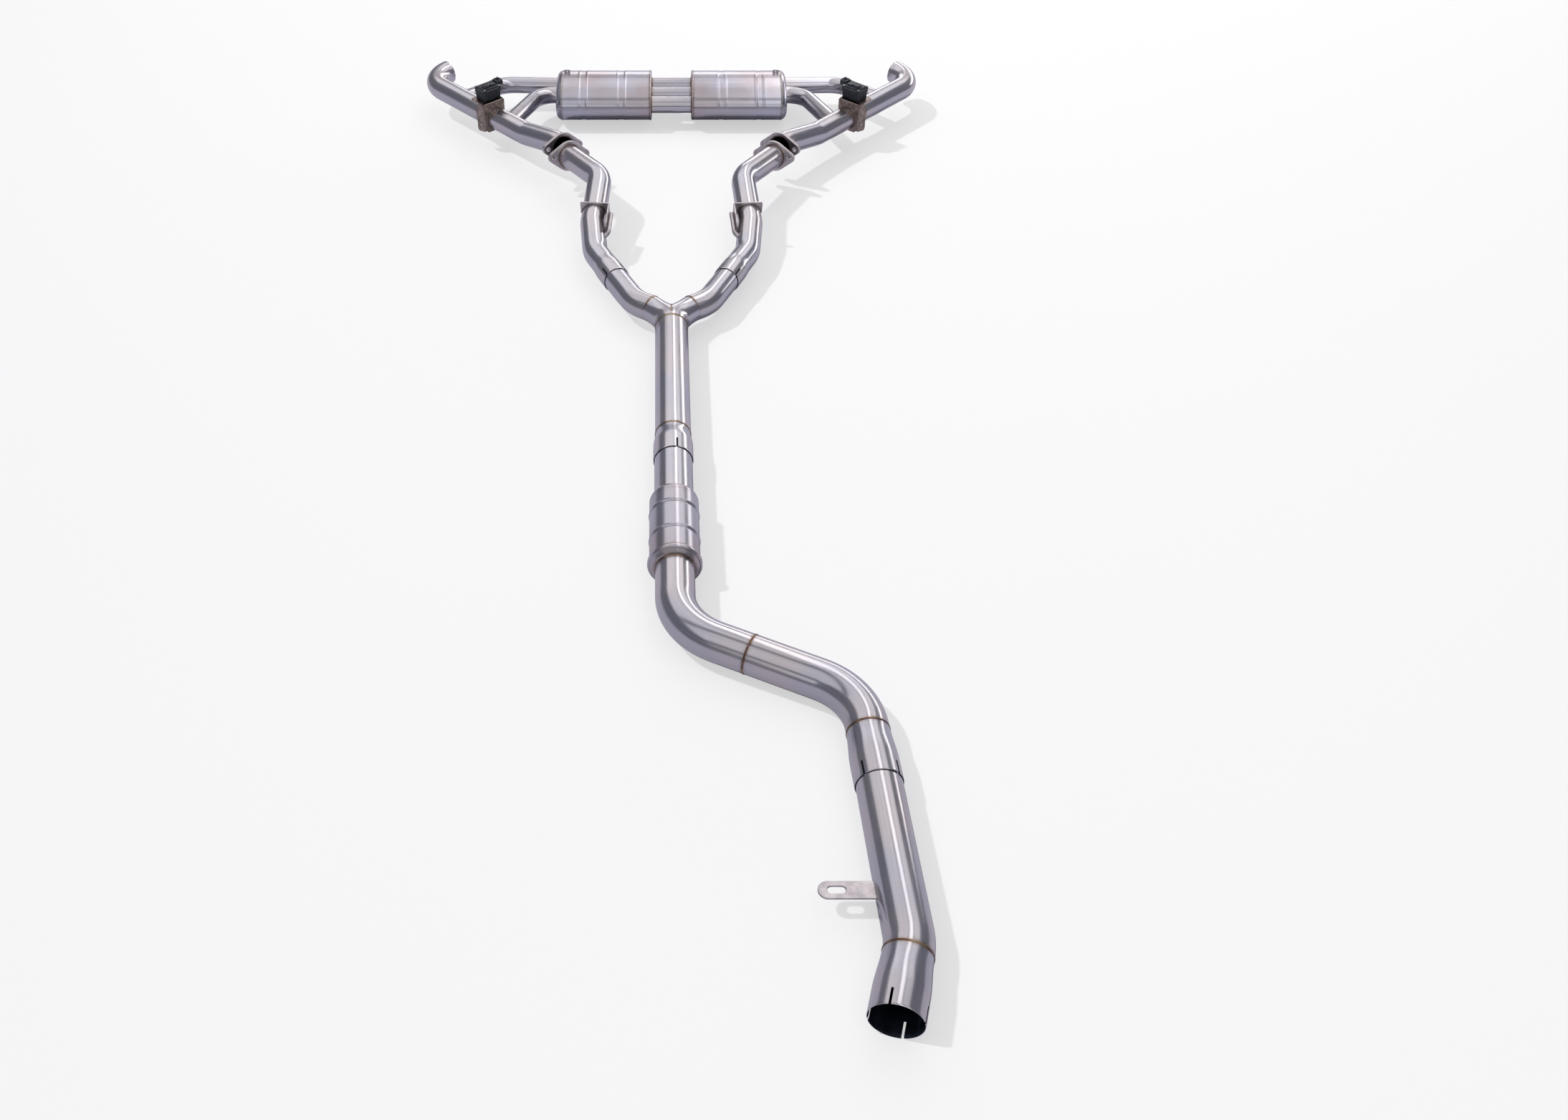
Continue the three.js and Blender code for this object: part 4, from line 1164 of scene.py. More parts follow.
class EXHAUST_OT_mid_hangers(MakePieces, bpy.types.Operator):
    """The mid pipes' hangers: a saddle plate with a folded side strip, and a bent rod"""

    bl_idname = "exhaust.mid_hangers"
    bl_label = "Mid Hangers"

    def make(self, context):
        place = Frame(step_from(HANGER_WELD, HANGER_POINT, 5), HANGER_WELD - np.array(HANGER_POINT))
        inner_reach, outer_reach, bottom, top, saddle = 37.0, 31.0, 2.0, 34.0, TWIN_PIPE / 2 + 0.2
        lean = math.asin(bottom / saddle)
        arch = np.linspace(math.pi - lean, lean, 33)
        outline = [(outer_reach, bottom), *corner_arc(outer_reach, top, 5), *corner_arc(-inner_reach, top, 5)]
        outline += [(-inner_reach, bottom), *zip(saddle * np.cos(arch), saddle * np.sin(arch))]
        skin = Skin().plate(outline, [], SHEET, place, edge=0.4, weld_hole=saddle)
        side_top, side_bottom, reach = top - 1.0, top - 30.0, 74.0
        strip = [
            (-SHEET / 2, side_bottom + 4), (4, side_bottom), (reach - 6, side_bottom),
            (reach, side_bottom + 6), (reach, side_top - 6), (reach - 6, side_top), (-SHEET / 2, side_top),
        ]
        side = turned_frame(place.moved(right=-inner_reach + SHEET / 2), -place.along, place.right)
        skin.plate(rounded([*strip, strip[0]], 5.0)[:-1], [], SHEET, side, edge=0.4)
        make_pair("mid_hanger_bracket", skin, [finish(cut_plate)])
        self.make_rods(place, inner_reach)

    def make_rods(self, place, inner_reach):
        """A round rod along the strip, whose free end turns inward and carries a baked brown tip."""
        radius = 5.0
        side = -inner_reach - radius - 0.3
        points = [place.place(point) for point in ((side, -12, 14), (side, -82, 14), (side + 24, -100, 0))]
        route = Route(points, 16.0, (0.6, 1.4, -0.6, -1.4), run_step=8.0)
        radii = np.full(len(route.distances), radius)
        radii[[0, -1]] -= 0.9
        radii[[1, -2]] -= 0.3
        skin = Skin().tube(route, radii, thickness=radius - 1.0, columns=28, welds=("end",))
        finishes = [finish(cut_plate), finish(cut_plate)]
        make_pair("mid_hanger_rod", skin, finishes)


def corner_arc(x, y, radius, steps=5):
    """The arc that rounds a plate's top corner, from its outer side inward."""
    sign = 1 if x > 0 else -1
    turn = np.radians(np.linspace(0, 90, steps + 1))
    points = [(x - sign * radius * (1 - math.cos(a)), y - radius * (1 - math.sin(a))) for a in turn]
    return points if sign > 0 else points[::-1]


def turned_frame(place, right, along):
    """A frame at the same place whose plate lies square to another direction."""
    other = Frame(place.origin, place.along)
    other.right, other.along = unit(right), unit(along)
    other.up = np.cross(other.right, other.along)
    return other


def lozenge():
    """A two-bolt flange outline: a hub circle and two ear circles with straight sides between."""
    ear, hub, reach = 13.0, 37.0, 43.0
    lean = math.acos((hub - ear) / reach)
    arcs = [
        (reach, ear, -lean, lean, 18), (0, hub, lean, math.pi - lean, 16),
        (-reach, ear, math.pi - lean, math.pi + lean, 18), (0, hub, math.pi + lean, 2 * math.pi - lean, 16),
    ]
    points = []
    for centre, radius, start, end, steps in arcs:
        for angle in np.linspace(start, end, steps + 1):
            points.append((centre + radius * math.cos(angle), radius * math.sin(angle)))
    return points


class EXHAUST_OT_flanges(MakePieces, bpy.types.Operator):
    """Two-bolt flanges on the mid and rear pipes"""

    bl_idname = "exhaust.flanges"
    bl_label = "Flanges"

    def make(self, context):
        bore = TWIN_PIPE / 2 + 0.1
        holes = [circle(bore, count=72), circle(5.25, (43.0, 0), 28), circle(5.25, (-43.0, 0), 28)]
        for name, centre, direction in (
            ("mid_flange", MID_FLANGE, np.subtract(MID_FLANGE, MID_HIGH_CORNER)),
            ("rear_flange", REAR_FLANGE, np.subtract(REAR_FLANGE_CORNER, REAR_FLANGE)),
        ):
            place = Frame(centre, direction).rolled(FLANGE_ROLL)
            skin = Skin().plate(lozenge(), holes, FLANGE_THICKNESS, place, edge=0.9, weld_hole=bore)
            make_pair(name, skin, [finish(cut_plate)])


class EXHAUST_OT_rear_pipes(MakePieces, bpy.types.Operator):
    """The rear pipes, the hooked tail pipes and the branch and return pipes of the mufflers"""

    bl_idname = "exhaust.rear_pipes"
    bl_label = "Rear Pipes"

    def make(self, context):
        can_entry = CAN_OUTER - 6
        pipes = {
            "rear_pipe": (
                TWIN_PIPE, TWIN_BEND, [REAR_FLANGE_FACE, REAR_FLANGE_CORNER, REAR_CORNER, VALVE_INLET]),
            "tail_pipe": (TWIN_PIPE, HOOK_BEND, [VALVE_OUTLET, HOOK_CORNER, HOOK_END]),
            "branch_pipe": (
                MUFFLED_PIPE, MUFFLED_BEND,
                [(can_entry, CAN_STATION, CAN_LEVEL), BRANCH_CORNER, BRANCH_ROOT]),
            "return_pipe": (
                MUFFLED_PIPE, MUFFLED_BEND,
                [(can_entry, CAN_STATION + TUBE_PITCH, CAN_LEVEL), RETURN_CORNER, RETURN_ROOT]),
        }
        for name, (diameter, bend_radius, corners) in pipes.items():
            welds = ("start",) if name == "tail_pipe" else ("start", "end")
            skin = plain_tube(corners, bend_radius, diameter, welds)
            make_pair(name, skin, tube_finishes())


class EXHAUST_OT_mufflers(MakePieces, bpy.types.Operator):
    """The two oval muffler cans with embossed rings and seamed ends, and their crossover tubes"""

    bl_idname = "exhaust.mufflers"
    bl_label = "Mufflers"

    def make(self, context):
        steel = [finish(muffler_steel), finish(bore_painted_shade)]
        make_pair("muffler_shell", self.shell(), steel)
        inner = [(53.6, 9.0), (52.8, 3.5), (53.2, 0.6), (55.0, -1.2), (57.4, -1.2), (58.8, 0.4), (58.8, 2.0)]
        outer = [
            (305.0, 26.0), (304.4, 16.0), (302.0, 8.0), (297.5, 2.8), (292.5, 0.2), (291.0, -0.9),
            (288.8, -0.9), (287.4, 0.4),
        ]
        for name, profile in (("muffler_inner_plate", inner), ("muffler_outer_plate", outer)):
            skin = self.end_cap(profile, inner_side=profile is inner)
            make_pair(name, skin, [finish(muffler_steel)])
        tubes = (
            ("crossover_tube_front", -TUBE_PITCH, CAN_OUTER - 40),
            ("crossover_tube_middle", 0.0, CAN_OUTER - 8),
            ("crossover_tube_rear", TUBE_PITCH, CAN_OUTER - 8),
        )
        for name, offset, reach in tubes:
            start = (-reach, CAN_STATION + offset, CAN_LEVEL)
            end = (reach, CAN_STATION + offset, CAN_LEVEL)
            skin = plain_tube([start, end], TWIN_BEND, MUFFLED_PIPE, ())
            across = np.abs(skin.points[0][:, 0])
            skin.weld[0] = np.abs(across - CAN_INNER)
            make_single(name, skin, tube_finishes())
        self.make_tabs()

    def oval_rows(self, rows, columns=128):
        """Ovals across the can: every row is (distance from the middle plane, inset)."""
        angles = ring_angles(columns)
        grid = []
        for across, inset in rows:
            backward = (CAN_HALF_DEPTH - inset) * np.cos(angles)
            upward = (CAN_HALF_HEIGHT - inset) * np.sin(angles)
            sideways = np.full(columns, across)
            grid.append(np.column_stack([sideways, CAN_STATION + backward, CAN_LEVEL + upward]))
        return np.array(grid)

    def girth(self, points):
        """Grain values of can points: back and up from the can's axis, then across the car."""
        return points[:, [1, 2, 0]] - np.array([CAN_STATION, CAN_LEVEL, 0])

    def shell(self):
        """The rolled can wall, with two pairs of shallow embossed rings."""
        start, end = 58.0, 289.0
        stations = np.arange(start, end + 0.01, 1.0)
        inset = np.zeros_like(stations)
        for ring_station in (122.0, 143.0, 223.0, 244.0):
            inset -= 0.8 * np.exp(-((stations - ring_station) / 2.4) ** 2)
        for band_station in (132.5, 233.5):
            inset += 0.5 * smooth_step(-np.abs(stations - band_station), -8.5, -5.5)
        outer = self.oval_rows(list(zip(stations, inset)))
        inner = self.oval_rows(list(zip(stations, inset + WALL)))
        rows, columns = outer.shape[:2]
        front = grid_faces(rows, columns)[:, ::-1]
        count = rows * columns
        points = np.concatenate([outer.reshape(-1, 3), inner.reshape(-1, 3)])
        weld = np.minimum(points[:, 0] - start, end - points[:, 0])
        girth = self.girth(points)
        return Skin().add(points, [(front, 0), *wall_faces(front, count)], girth, weld)

    def end_cap(self, profile, inner_side):
        """A pressed end: from its flat face over a rounded shoulder to the seam roll on the shell."""
        corners = rounded(profile, 4.0, 3)
        rows = self.oval_rows(corners)
        face = rows[0].copy()
        middle = np.array([face[0, 0], CAN_STATION, CAN_LEVEL])
        closing = [middle + (face - middle) * share for share in (0.03, 0.35, 0.7, 0.9)]
        rows = np.concatenate([np.array(closing), rows])
        row_count, columns = rows.shape[:2]
        front = grid_faces(row_count, columns)
        first_row = np.arange(columns)
        middle_point = np.full(columns, row_count * columns)
        fan = np.stack([middle_point, first_row, np.roll(first_row, -1)], axis=1)
        if inner_side:
            front = front[:, ::-1]
        else:
            fan = fan[:, ::-1]
        points = np.concatenate([rows.reshape(-1, 3), [middle]])
        girth = self.girth(points)
        seam = 57.0 if inner_side else 289.5
        weld = np.abs(points[:, 0] - seam)
        offsets = (-TUBE_PITCH, 0.0, TUBE_PITCH) if inner_side else (0.0, TUBE_PITCH)
        for offset in offsets:
            ring_distance = np.hypot(points[:, 1] - CAN_STATION - offset, points[:, 2] - CAN_LEVEL)
            weld = np.minimum(weld, np.abs(ring_distance - MUFFLED_PIPE / 2))
        return Skin().add(points, [(front, 0), (fan, 0)], girth, weld)

    def make_tabs(self):
        """A small folded tab stands on top of each can beside its outer end."""
        top = CAN_LEVEL + CAN_HALF_HEIGHT
        place = Frame((277.0, CAN_STATION + 14.0, top - 1.4), (0, 1, 0))
        foot = rounded_rectangle(16.0, 12.0, 3.0)
        skin = Skin().block(foot, [(0.5, -1.5), (0, -1.0), (0, 1.4), (0.5, 1.9)], place)
        upright_plate = rounded([(-8, -1), (-8, 9), (8, 9), (8, -1)], 3.0)
        skin.plate(upright_plate, [circle(2.2, (0, 5.0), 16)], 2.0, place.moved(along=5.0), edge=0.3)
        make_pair("can_top_tab", skin, [finish(muffler_steel)], in_cad=False)


class EXHAUST_OT_valves(MakePieces, bpy.types.Operator):
    """The butterfly valves: barrel with its shaft boss, the turning shaft and the flap"""

    bl_idname = "exhaust.valves"
    bl_label = "Valves"

    def make(self, context):
        place, upright = VALVE_FRAME, VALVE_FRAME.upright()
        half, bore = VALVE_LENGTH / 2, TWIN_PIPE / 2 - WALL
        barrel = rounded([
            (bore, -half), (31.5, -half), (VALVE_RADIUS, -half + 2), (VALVE_RADIUS, -9), (31.6, -7),
            (31.6, 7), (VALVE_RADIUS, 9), (VALVE_RADIUS, half - 2), (31.5, half), (bore, half), (bore, 0),
        ], 1.2, 3)
        skin = Skin().turned(barrel, place, 96, welds=(-half, half))
        boss = rounded([(7.6, -40), (9, -38.5), (9, 40.5), (7.8, 42), (4.6, 42)], 1.0, 3)
        lower = profile_part(boss, -40, -29)
        upper = profile_part(boss, 29, 42)
        skin.turned(lower, upright, 40, closed=False)
        skin.turned(np.vstack([upper, [(4.6, 30.0)]]), upright, 40)
        make_pair("valve_body", skin, [finish(cut_plate)])
        top = SHELF_LEVEL + SHEET + 16
        shaft = rounded([(3.4, -37), (4, -36.2), (4, top - 1), (3.2, top)], 0.8, 3)
        make_pair("valve_shaft", Skin().turned(shaft, upright, 32, closed=False), [finish(ground_steel)],
                  body="valve")
        flap = rounded([(24.9, -1), (25.6, -0.3), (25.6, 0.3), (24.9, 1)], 0.4, 3)
        skin = Skin().turned(flap, place, 72, closed=False)
        for height in (-11.0, 11.0):
            head = rounded([(3.2, -3.4), (3.9, -2.4), (3.9, -0.8)], 0.6, 3)
            skin.turned(head, place.moved(up=height, along=-3.2), 20, closed=False)
        make_pair("valve_flap", skin, [finish(ground_steel)], body="valve")


def profile_part(profile, start, end):
    """The part of a (radius, along) profile between two distances along its axis."""
    stations = np.linspace(start, end, 12)
    return np.column_stack([np.interp(stations, profile[:, 1], profile[:, 0]), stations])


class EXHAUST_OT_actuator_brackets(MakePieces, bpy.types.Operator):
    """The folded brackets that carry the actuators: front plate, outer strap and top shelf"""

    bl_idname = "exhaust.actuator_brackets"
    bl_label = "Actuator Brackets"

    def make(self, context):
        place = VALVE_FRAME
        front_face = -VALVE_LENGTH / 2 - 4
        inner_side, strap_side = -28.0, VALVE_RADIUS + 3
        bottom, top = -31.0, SHELF_LEVEL + SHEET
        pipe_hole = TWIN_PIPE / 2 + 0.6
        fold = 3.0
        arch = circle(pipe_hole, count=64)
        arch = arch[arch[:, 0] > inner_side + 0.8]
        arch = arch[np.argsort(np.arctan2(arch[:, 1], arch[:, 0]))]
        plate = rounded([
            (inner_side, top - fold), (strap_side, top - fold), (strap_side, bottom + 8),
            (strap_side - 8, bottom), (14, bottom), (-12, bottom), (inner_side, bottom + 12),
        ], 6.0)
        outline = np.vstack([plate, arch])
        front = place.moved(along=front_face - SHEET / 2)
        skin = Skin().plate(outline, [], SHEET, front, edge=0.4, weld_hole=pipe_hole)
        strap_length = 29.0
        strap = rounded([
            (0, bottom + 4), (strap_length - 4, bottom), (strap_length, bottom + 5), (strap_length, top - 20),
            (strap_length - 10, top - fold), (0, top - fold), (0, bottom + 4),
        ], 4.0)[:-1]
        side = place.moved(right=strap_side + SHEET / 2, along=front_face)
        side = turned_frame(side, place.along, -place.right)
        skin.plate(strap, [circle(3.2, (17.0, -14.0), 20)], SHEET, side, edge=0.4)
        middle = (inner_side + strap_side + SHEET) / 2
        shelf_frame = place.moved(right=middle, along=front_face + 27.0 - SHEET / 2, up=SHELF_LEVEL)
        shelf = rounded_rectangle(strap_side + SHEET - inner_side - 1, 60.0 - fold - 3, 8.0)
        skin.block(shelf, [(0.4, 0), (0, 0.4), (0, SHEET - 0.4), (0.4, SHEET)], shelf_frame)
        self.add_fold(skin, place, (inner_side + 2, strap_side + 1), front_face, top, fold)
        corner = place.moved(right=strap_side, along=front_face)
        self.add_corner(skin, corner, bottom + 6, top - fold)
        make_pair("actuator_bracket", skin, [finish(folded_sheet)])

    def add_fold(self, skin, place, span, front_face, top, fold):
        """The rounded fold between the front plate and the shelf."""
        turn = np.radians(np.linspace(0, 90, 9))
        start = front_face + fold - SHEET
        outer = np.column_stack([start - fold * np.cos(turn), top - fold + fold * np.sin(turn)])
        back = start + SHEET + 2
        section = np.vstack([outer, [(back, top), (back, top - SHEET), (start, top - fold)]])
        self.add_bar(skin, place, section, span)

    def add_bar(self, skin, place, section, span):
        """A bar of one (along, up) section from side to side."""
        count = len(section)
        rows = [np.column_stack([np.full(count, across), section]) for across in span]
        faces = grid_faces(2, count)
        cap = filled([section])
        if loop_area(section) > 0:
            faces = faces[:, ::-1]
        local = np.concatenate(rows)
        skin.add(place.place(local), [(faces, 0), (cap + count, 0), (cap[:, ::-1], 0)], local)

    def add_corner(self, skin, corner, bottom, top):
        """The rounded fold between the front plate and the strap."""
        turn = np.radians(np.linspace(0, 90, 9))
        outline = [(SHEET * math.sin(a), -SHEET * math.cos(a)) for a in turn]
        outline = [(-1.5, -SHEET), *outline, (SHEET, 1.5), (0.0, 1.5), (0.0, 0.0), (-1.5, 0.0)]
        place = corner.moved(up=bottom)
        skin.block(outline, [(0, 0), (0, top - bottom)], place)


class EXHAUST_OT_actuators(MakePieces, bpy.types.Operator):
    """The electric actuators: ribbed housing, lid with its plug socket, screws and the gear inside"""

    bl_idname = "exhaust.actuators"
    bl_label = "Actuators"

    def make(self, context):
        base = SHELF_LEVEL + SHEET + 0.3
        place = VALVE_FRAME.moved(along=2.0, up=base)
        nylon = [finish(black_nylon), finish(zinc_screw), finish(seal_rubber)]
        outline = rounded_rectangle(56.0, 44.0, 10.0, steps=8)
        housing = Skin().block(outline, [
            (2.2, 0), (1.2, 0.6), (1.0, 1.6), (0.4, 17.0), (0.4, 19.0), (-0.8, 20.0), (-0.9, 23.2),
            (-0.4, 24.0),
        ], place)
        stations = (-20, -12, -4, 4, 12, 20)
        ribs = [((2.0, 3.0), (across, edge * 21.6)) for across in stations for edge in (-1, 1)]
        ribs += [((3.0, 2.0), (edge * 27.4, along)) for along in (-11, 0, 11) for edge in (-1, 1)]
        for (width, depth), centre in ribs:
            rib = rounded_rectangle(width, depth, 0.8, centre, 3)
            housing.block(rib, [(0.4, 2.0), (0, 2.6), (0, 19.5)], place)
        make_pair("actuator_housing", housing, nylon, sharp=38)
        self.make_lid(place.moved(up=24.3), nylon)
        for side, _ in SIDES:
            dress_node(f"actuator_gear_{side}", moulded_gear)

    def make_lid(self, place, nylon):
        """The lid: stepped top, round motor can, gear-train box, four screw bosses and the plug socket."""
        outline = rounded_rectangle(57.0, 45.0, 10.0, steps=8)
        lid = Skin().block(outline, [
            (0.5, 0), (0, 0.5), (0, 3.0), (1.4, 3.8), (3.2, 4.2), (4.0, 6.8), (5.6, 8.0), (7.0, 8.2),
        ], place)
        lid.block(circle(10.5, (11.0, -6.0), 40), [
            (0, 6.0), (0.2, 13.0), (0.9, 15.0), (2.6, 15.8), (4.0, 15.9), (4.4, 15.3), (6.0, 15.3),
        ], place)
        gear_box = rounded_rectangle(18.0, 22.0, 4.0, (-10.0, -2.0))
        lid.block(gear_box, [(0, 6.0), (0.3, 11.2), (1.4, 12.4)], place)
        for offset in (-6.0, 0.0, 6.0):
            rib = rounded_rectangle(26.0, 1.6, 0.7, (1.0, offset), 3)
            lid.block(rib, [(0, 6.0), (0, 9.4), (0.3, 9.8)], place)
        for across in (-23.0, 23.0):
            for along in (-17.0, 17.0):
                lid.block(circle(4.6, (across, along), 28), [(0, -6.0), (0, 5.6), (0.6, 6.2)], place)
                lid.block(circle(3.1, (across, along), 24), [(0, 6.0), (0, 7.6), (0.7, 8.4)], place, 1)
                lid.block(circle(1.3, (across, along), 6), [(0, 8.2), (0, 8.5)], place, 0)
        socket = place.moved(right=-28.5, along=6.0, up=5.4)
        self.add_socket(lid, turned_frame(socket, place.along, -place.right))
        make_pair("actuator_cover", lid, nylon, sharp=38)

    def add_socket(self, skin, place):
        """The plug socket points away from the lid's side: a root, a deep oval shell with a rolled rim,
        a latch rib on top and a yellow seal round its mouth."""
        outline = rounded_rectangle(24.0, 14.0, 4.6)
        opening = rounded_rectangle(18.6, 9.0, 3.0)
        skin.plate(shrunk(outline, 1.0), [], 6.0, place.moved(along=1.0), edge=0.4)
        skin.plate(outline, [opening], 13.0, place.moved(along=9.5), edge=0.7)
        skin.plate(rounded_rectangle(25.4, 15.4, 5.2), [opening], 2.4, place.moved(along=14.6), edge=0.7)
        seal = rounded_rectangle(21.8, 11.8, 4.2)
        skin.plate(seal, [opening], 1.4, place.moved(along=16.3), edge=0.4, finish=2)
        skin.plate(rounded_rectangle(6.0, 3.0, 0.8, (0.0, 8.2)), [], 8.0, place.moved(along=9.0), edge=0.3)
        for offset in (-5.4, -1.8, 1.8, 5.4):
            skin.plate(circle(0.7, (offset, 0.0), 10), [], 5.0, place.moved(along=6.0), edge=0.2, finish=1)


class EXHAUST_OT_welds(MakePieces, bpy.types.Operator):
    """Every TIG weld bead of the system, as rings and as saddle lines round the branches"""

    bl_idname = "exhaust.welds"
    bl_label = "Weld Beads"

    def make(self, context):
        trunk = Frame(RESONATOR_IN, RESONATOR_OUT - RESONATOR_IN)
        single = [
            ("inlet_weld", INLET_WELD, np.subtract(INLET_CORNER, INLET_END), FRONT_PIPE),
            ("joint_weld", JOINT_WELD, np.subtract(LOWER_CORNER, FRONT_JOINT), TRUNK_PIPE),
            ("diagonal_weld", DIAGONAL_WELD, UPPER_CORNER - np.array(LOWER_CORNER), TRUNK_PIPE),
            ("resonator_inlet_weld", RESONATOR_IN, trunk.along, TRUNK_PIPE),
            ("resonator_neck_weld", RESONATOR_OUT + trunk.along, trunk.along, FRONT_PIPE),
            ("y_collar_weld", Y_WELD, trunk.along, TRUNK_PIPE),
            ("trunk_weld", TRUNK_WELD, trunk.along, TRUNK_PIPE),
        ]
        for name, centre, direction, diameter in single:
            self.make_bead(name, self.ring(centre, direction, diameter))
        lip = self.ring(trunk.place([0, 17.1, 0]), trunk.along, 91.6, 1.4, 0.6)
        self.make_bead("resonator_lip_weld", lip)
        flange_back = step_from(MID_FLANGE, MID_HIGH_CORNER, FLANGE_THICKNESS / 2)
        rear_back = step_from(REAR_FLANGE, REAR_FLANGE_CORNER, FLANGE_THICKNESS / 2)
        can_weld = CAN_OUTER - 0.2
        pairs = [
            ("leg_weld", LEG_WELD, np.subtract(LEG_CORNER, MERGE), TWIN_PIPE),
            ("hanger_weld", HANGER_WELD, np.subtract(MID_HIGH_CORNER, HANGER_POINT), TWIN_PIPE),
            ("mid_flange_weld", flange_back, np.subtract(MID_FLANGE, MID_HIGH_CORNER), TWIN_PIPE),
            ("rear_flange_weld", rear_back, np.subtract(REAR_FLANGE_CORNER, REAR_FLANGE), TWIN_PIPE),
            ("valve_inlet_weld", VALVE_INLET, VALVE_FRAME.along, TWIN_PIPE + 1.0),
            ("valve_outlet_weld", VALVE_OUTLET, VALVE_FRAME.along, TWIN_PIPE + 1.0),
            ("branch_can_weld", (can_weld, CAN_STATION, CAN_LEVEL), (1, 0, 0), MUFFLED_PIPE),
            ("return_can_weld", (can_weld, CAN_STATION + TUBE_PITCH, CAN_LEVEL), (1, 0, 0), MUFFLED_PIPE),
        ]
        for offset, place_name in ((-TUBE_PITCH, "front"), (0.0, "middle"), (TUBE_PITCH, "rear")):
            centre = (CAN_INNER - 0.2, CAN_STATION + offset, CAN_LEVEL)
            pairs.append((f"crossover_{place_name}_weld", centre, (1, 0, 0), MUFFLED_PIPE))
        for name, centre, direction, diameter in pairs:
            self.make_bead_pair(name, self.ring(centre, direction, diameter))
        branch_root = self.saddle(BRANCH_CORNER, BRANCH_ROOT, REAR_CORNER, VALVE_INLET)
        self.make_bead_pair("branch_root_weld", branch_root)
        return_root = self.saddle(RETURN_CORNER, RETURN_ROOT, VALVE_OUTLET, HOOK_CORNER)
        self.make_bead_pair("return_root_weld", return_root)
        self.make_crotch_weld()

    def make_bead(self, name, skin, mirrored=False):
        make_piece(name, skin, [finish(weld_metal)], mirrored=mirrored)

    def make_bead_pair(self, name, skin):
        for side, sign in SIDES:
            self.make_bead(f"{name}_{side}", skin, mirrored=sign < 0)

    def ring(self, centre, direction, diameter, half_width=None, height=None):
        tubes = bpy.context.scene.exhaust_tubes
        half_width = tubes.bead_half_width if half_width is None else half_width
        height = tubes.bead_height if height is None else height
        place = Frame(centre, direction)
        return Skin().weld_ring(place, diameter / 2, half_width, height, tubes.ripple_pitch)

    def saddle(self, branch_start, branch_end, pipe_start, pipe_end, diameter=MUFFLED_PIPE):
        """The line where a branch tube's wall meets the pipe that it runs into."""
        branch = Frame(branch_end, np.subtract(branch_end, branch_start))
        axis, pipe_origin = unit(np.subtract(pipe_end, pipe_start)), np.asarray(pipe_start, float)
        angles = ring_angles(360)
        ring = np.outer(np.cos(angles), branch.right) + np.outer(np.sin(angles), branch.up)
        starts = branch.origin + ring * diameter / 2 - pipe_origin
        across = starts - np.outer(starts @ axis, axis)
        travel = branch.along - axis * branch.along.dot(axis)
        # The first distance at which |across + distance x travel| is the pipe's radius.
        square = travel.dot(travel)
        slope = 2 * across @ travel
        rest = np.sum(across**2, axis=1) - (TWIN_PIPE / 2) ** 2
        root = np.sqrt(np.maximum(slope * slope - 4 * square * rest, 0))
        distance = (-slope - root) / (2 * square)
        points = starts + np.outer(distance, branch.along) + pipe_origin
        outward = points - pipe_origin - np.outer((points - pipe_origin) @ axis, axis)
        normals = ring + outward / np.linalg.norm(outward, axis=1)[:, None]
        normals /= np.linalg.norm(normals, axis=1)[:, None]
        return Skin().bead(points, normals, 2.6, 1.3, 2.8)

    def make_crotch_weld(self):
        """The two funnels of the merge piece meet on the middle plane: one bead follows the line where
        the right-hand one crosses it, from the top over the crotch to the base."""
        route, radii = funnel(1, run_step=1.0)
        sideways, upward = route.cross_axes()
        cosine = -route.points[:, 0] / (radii * sideways[:, 0])
        crossing = (np.abs(cosine) < 0.995) & (route.points[:, 0] > 1.5)
        angle = np.arccos(cosine[crossing])[:, None]
        reach = radii[crossing][:, None]
        middle, side, up = route.points[crossing], sideways[crossing], upward[crossing]
        top = middle + reach * (np.cos(angle) * side + np.sin(angle) * up)
        base = middle + reach * (np.cos(angle) * side - np.sin(angle) * up)
        line = np.concatenate([top, base[::-1]])
        line[:, 0] = 0.0
        distance = distances_along(line)
        line = sampled(line, distance, np.arange(0.0, distance[-1], 0.5))
        along = np.gradient(line, axis=0)
        normals = np.cross(np.broadcast_to([1.0, 0.0, 0.0], along.shape), along)
        normals /= np.linalg.norm(normals, axis=1)[:, None]
        if normals[0, 2] < 0:
            normals = -normals
        skin = Skin().bead(line, normals, 2.2, 1.0, 2.6, closed=False)
        self.make_bead("crotch_weld", skin)


# The bank of panels, in metres from the middle: (left, right, share of the light) for each column,
# narrow and bright right of the middle, and (front, back, share) for each row, brightest in the third.
PANEL_COLUMNS = ((-3.2, 0.15, 0.52), (0.4, 1.15, 1.35), (1.4, 3.3, 0.58))
PANEL_ROWS = ((-3.4, -0.5, 0.7), (0.1, 2.7, 0.85), (2.7, 5.9, 1.15), (6.2, 9.6, 0.35))
KEY_DIRECTION = (-0.72, 0.1, 1.0)
KEY_ANGLE = math.radians(2.5)


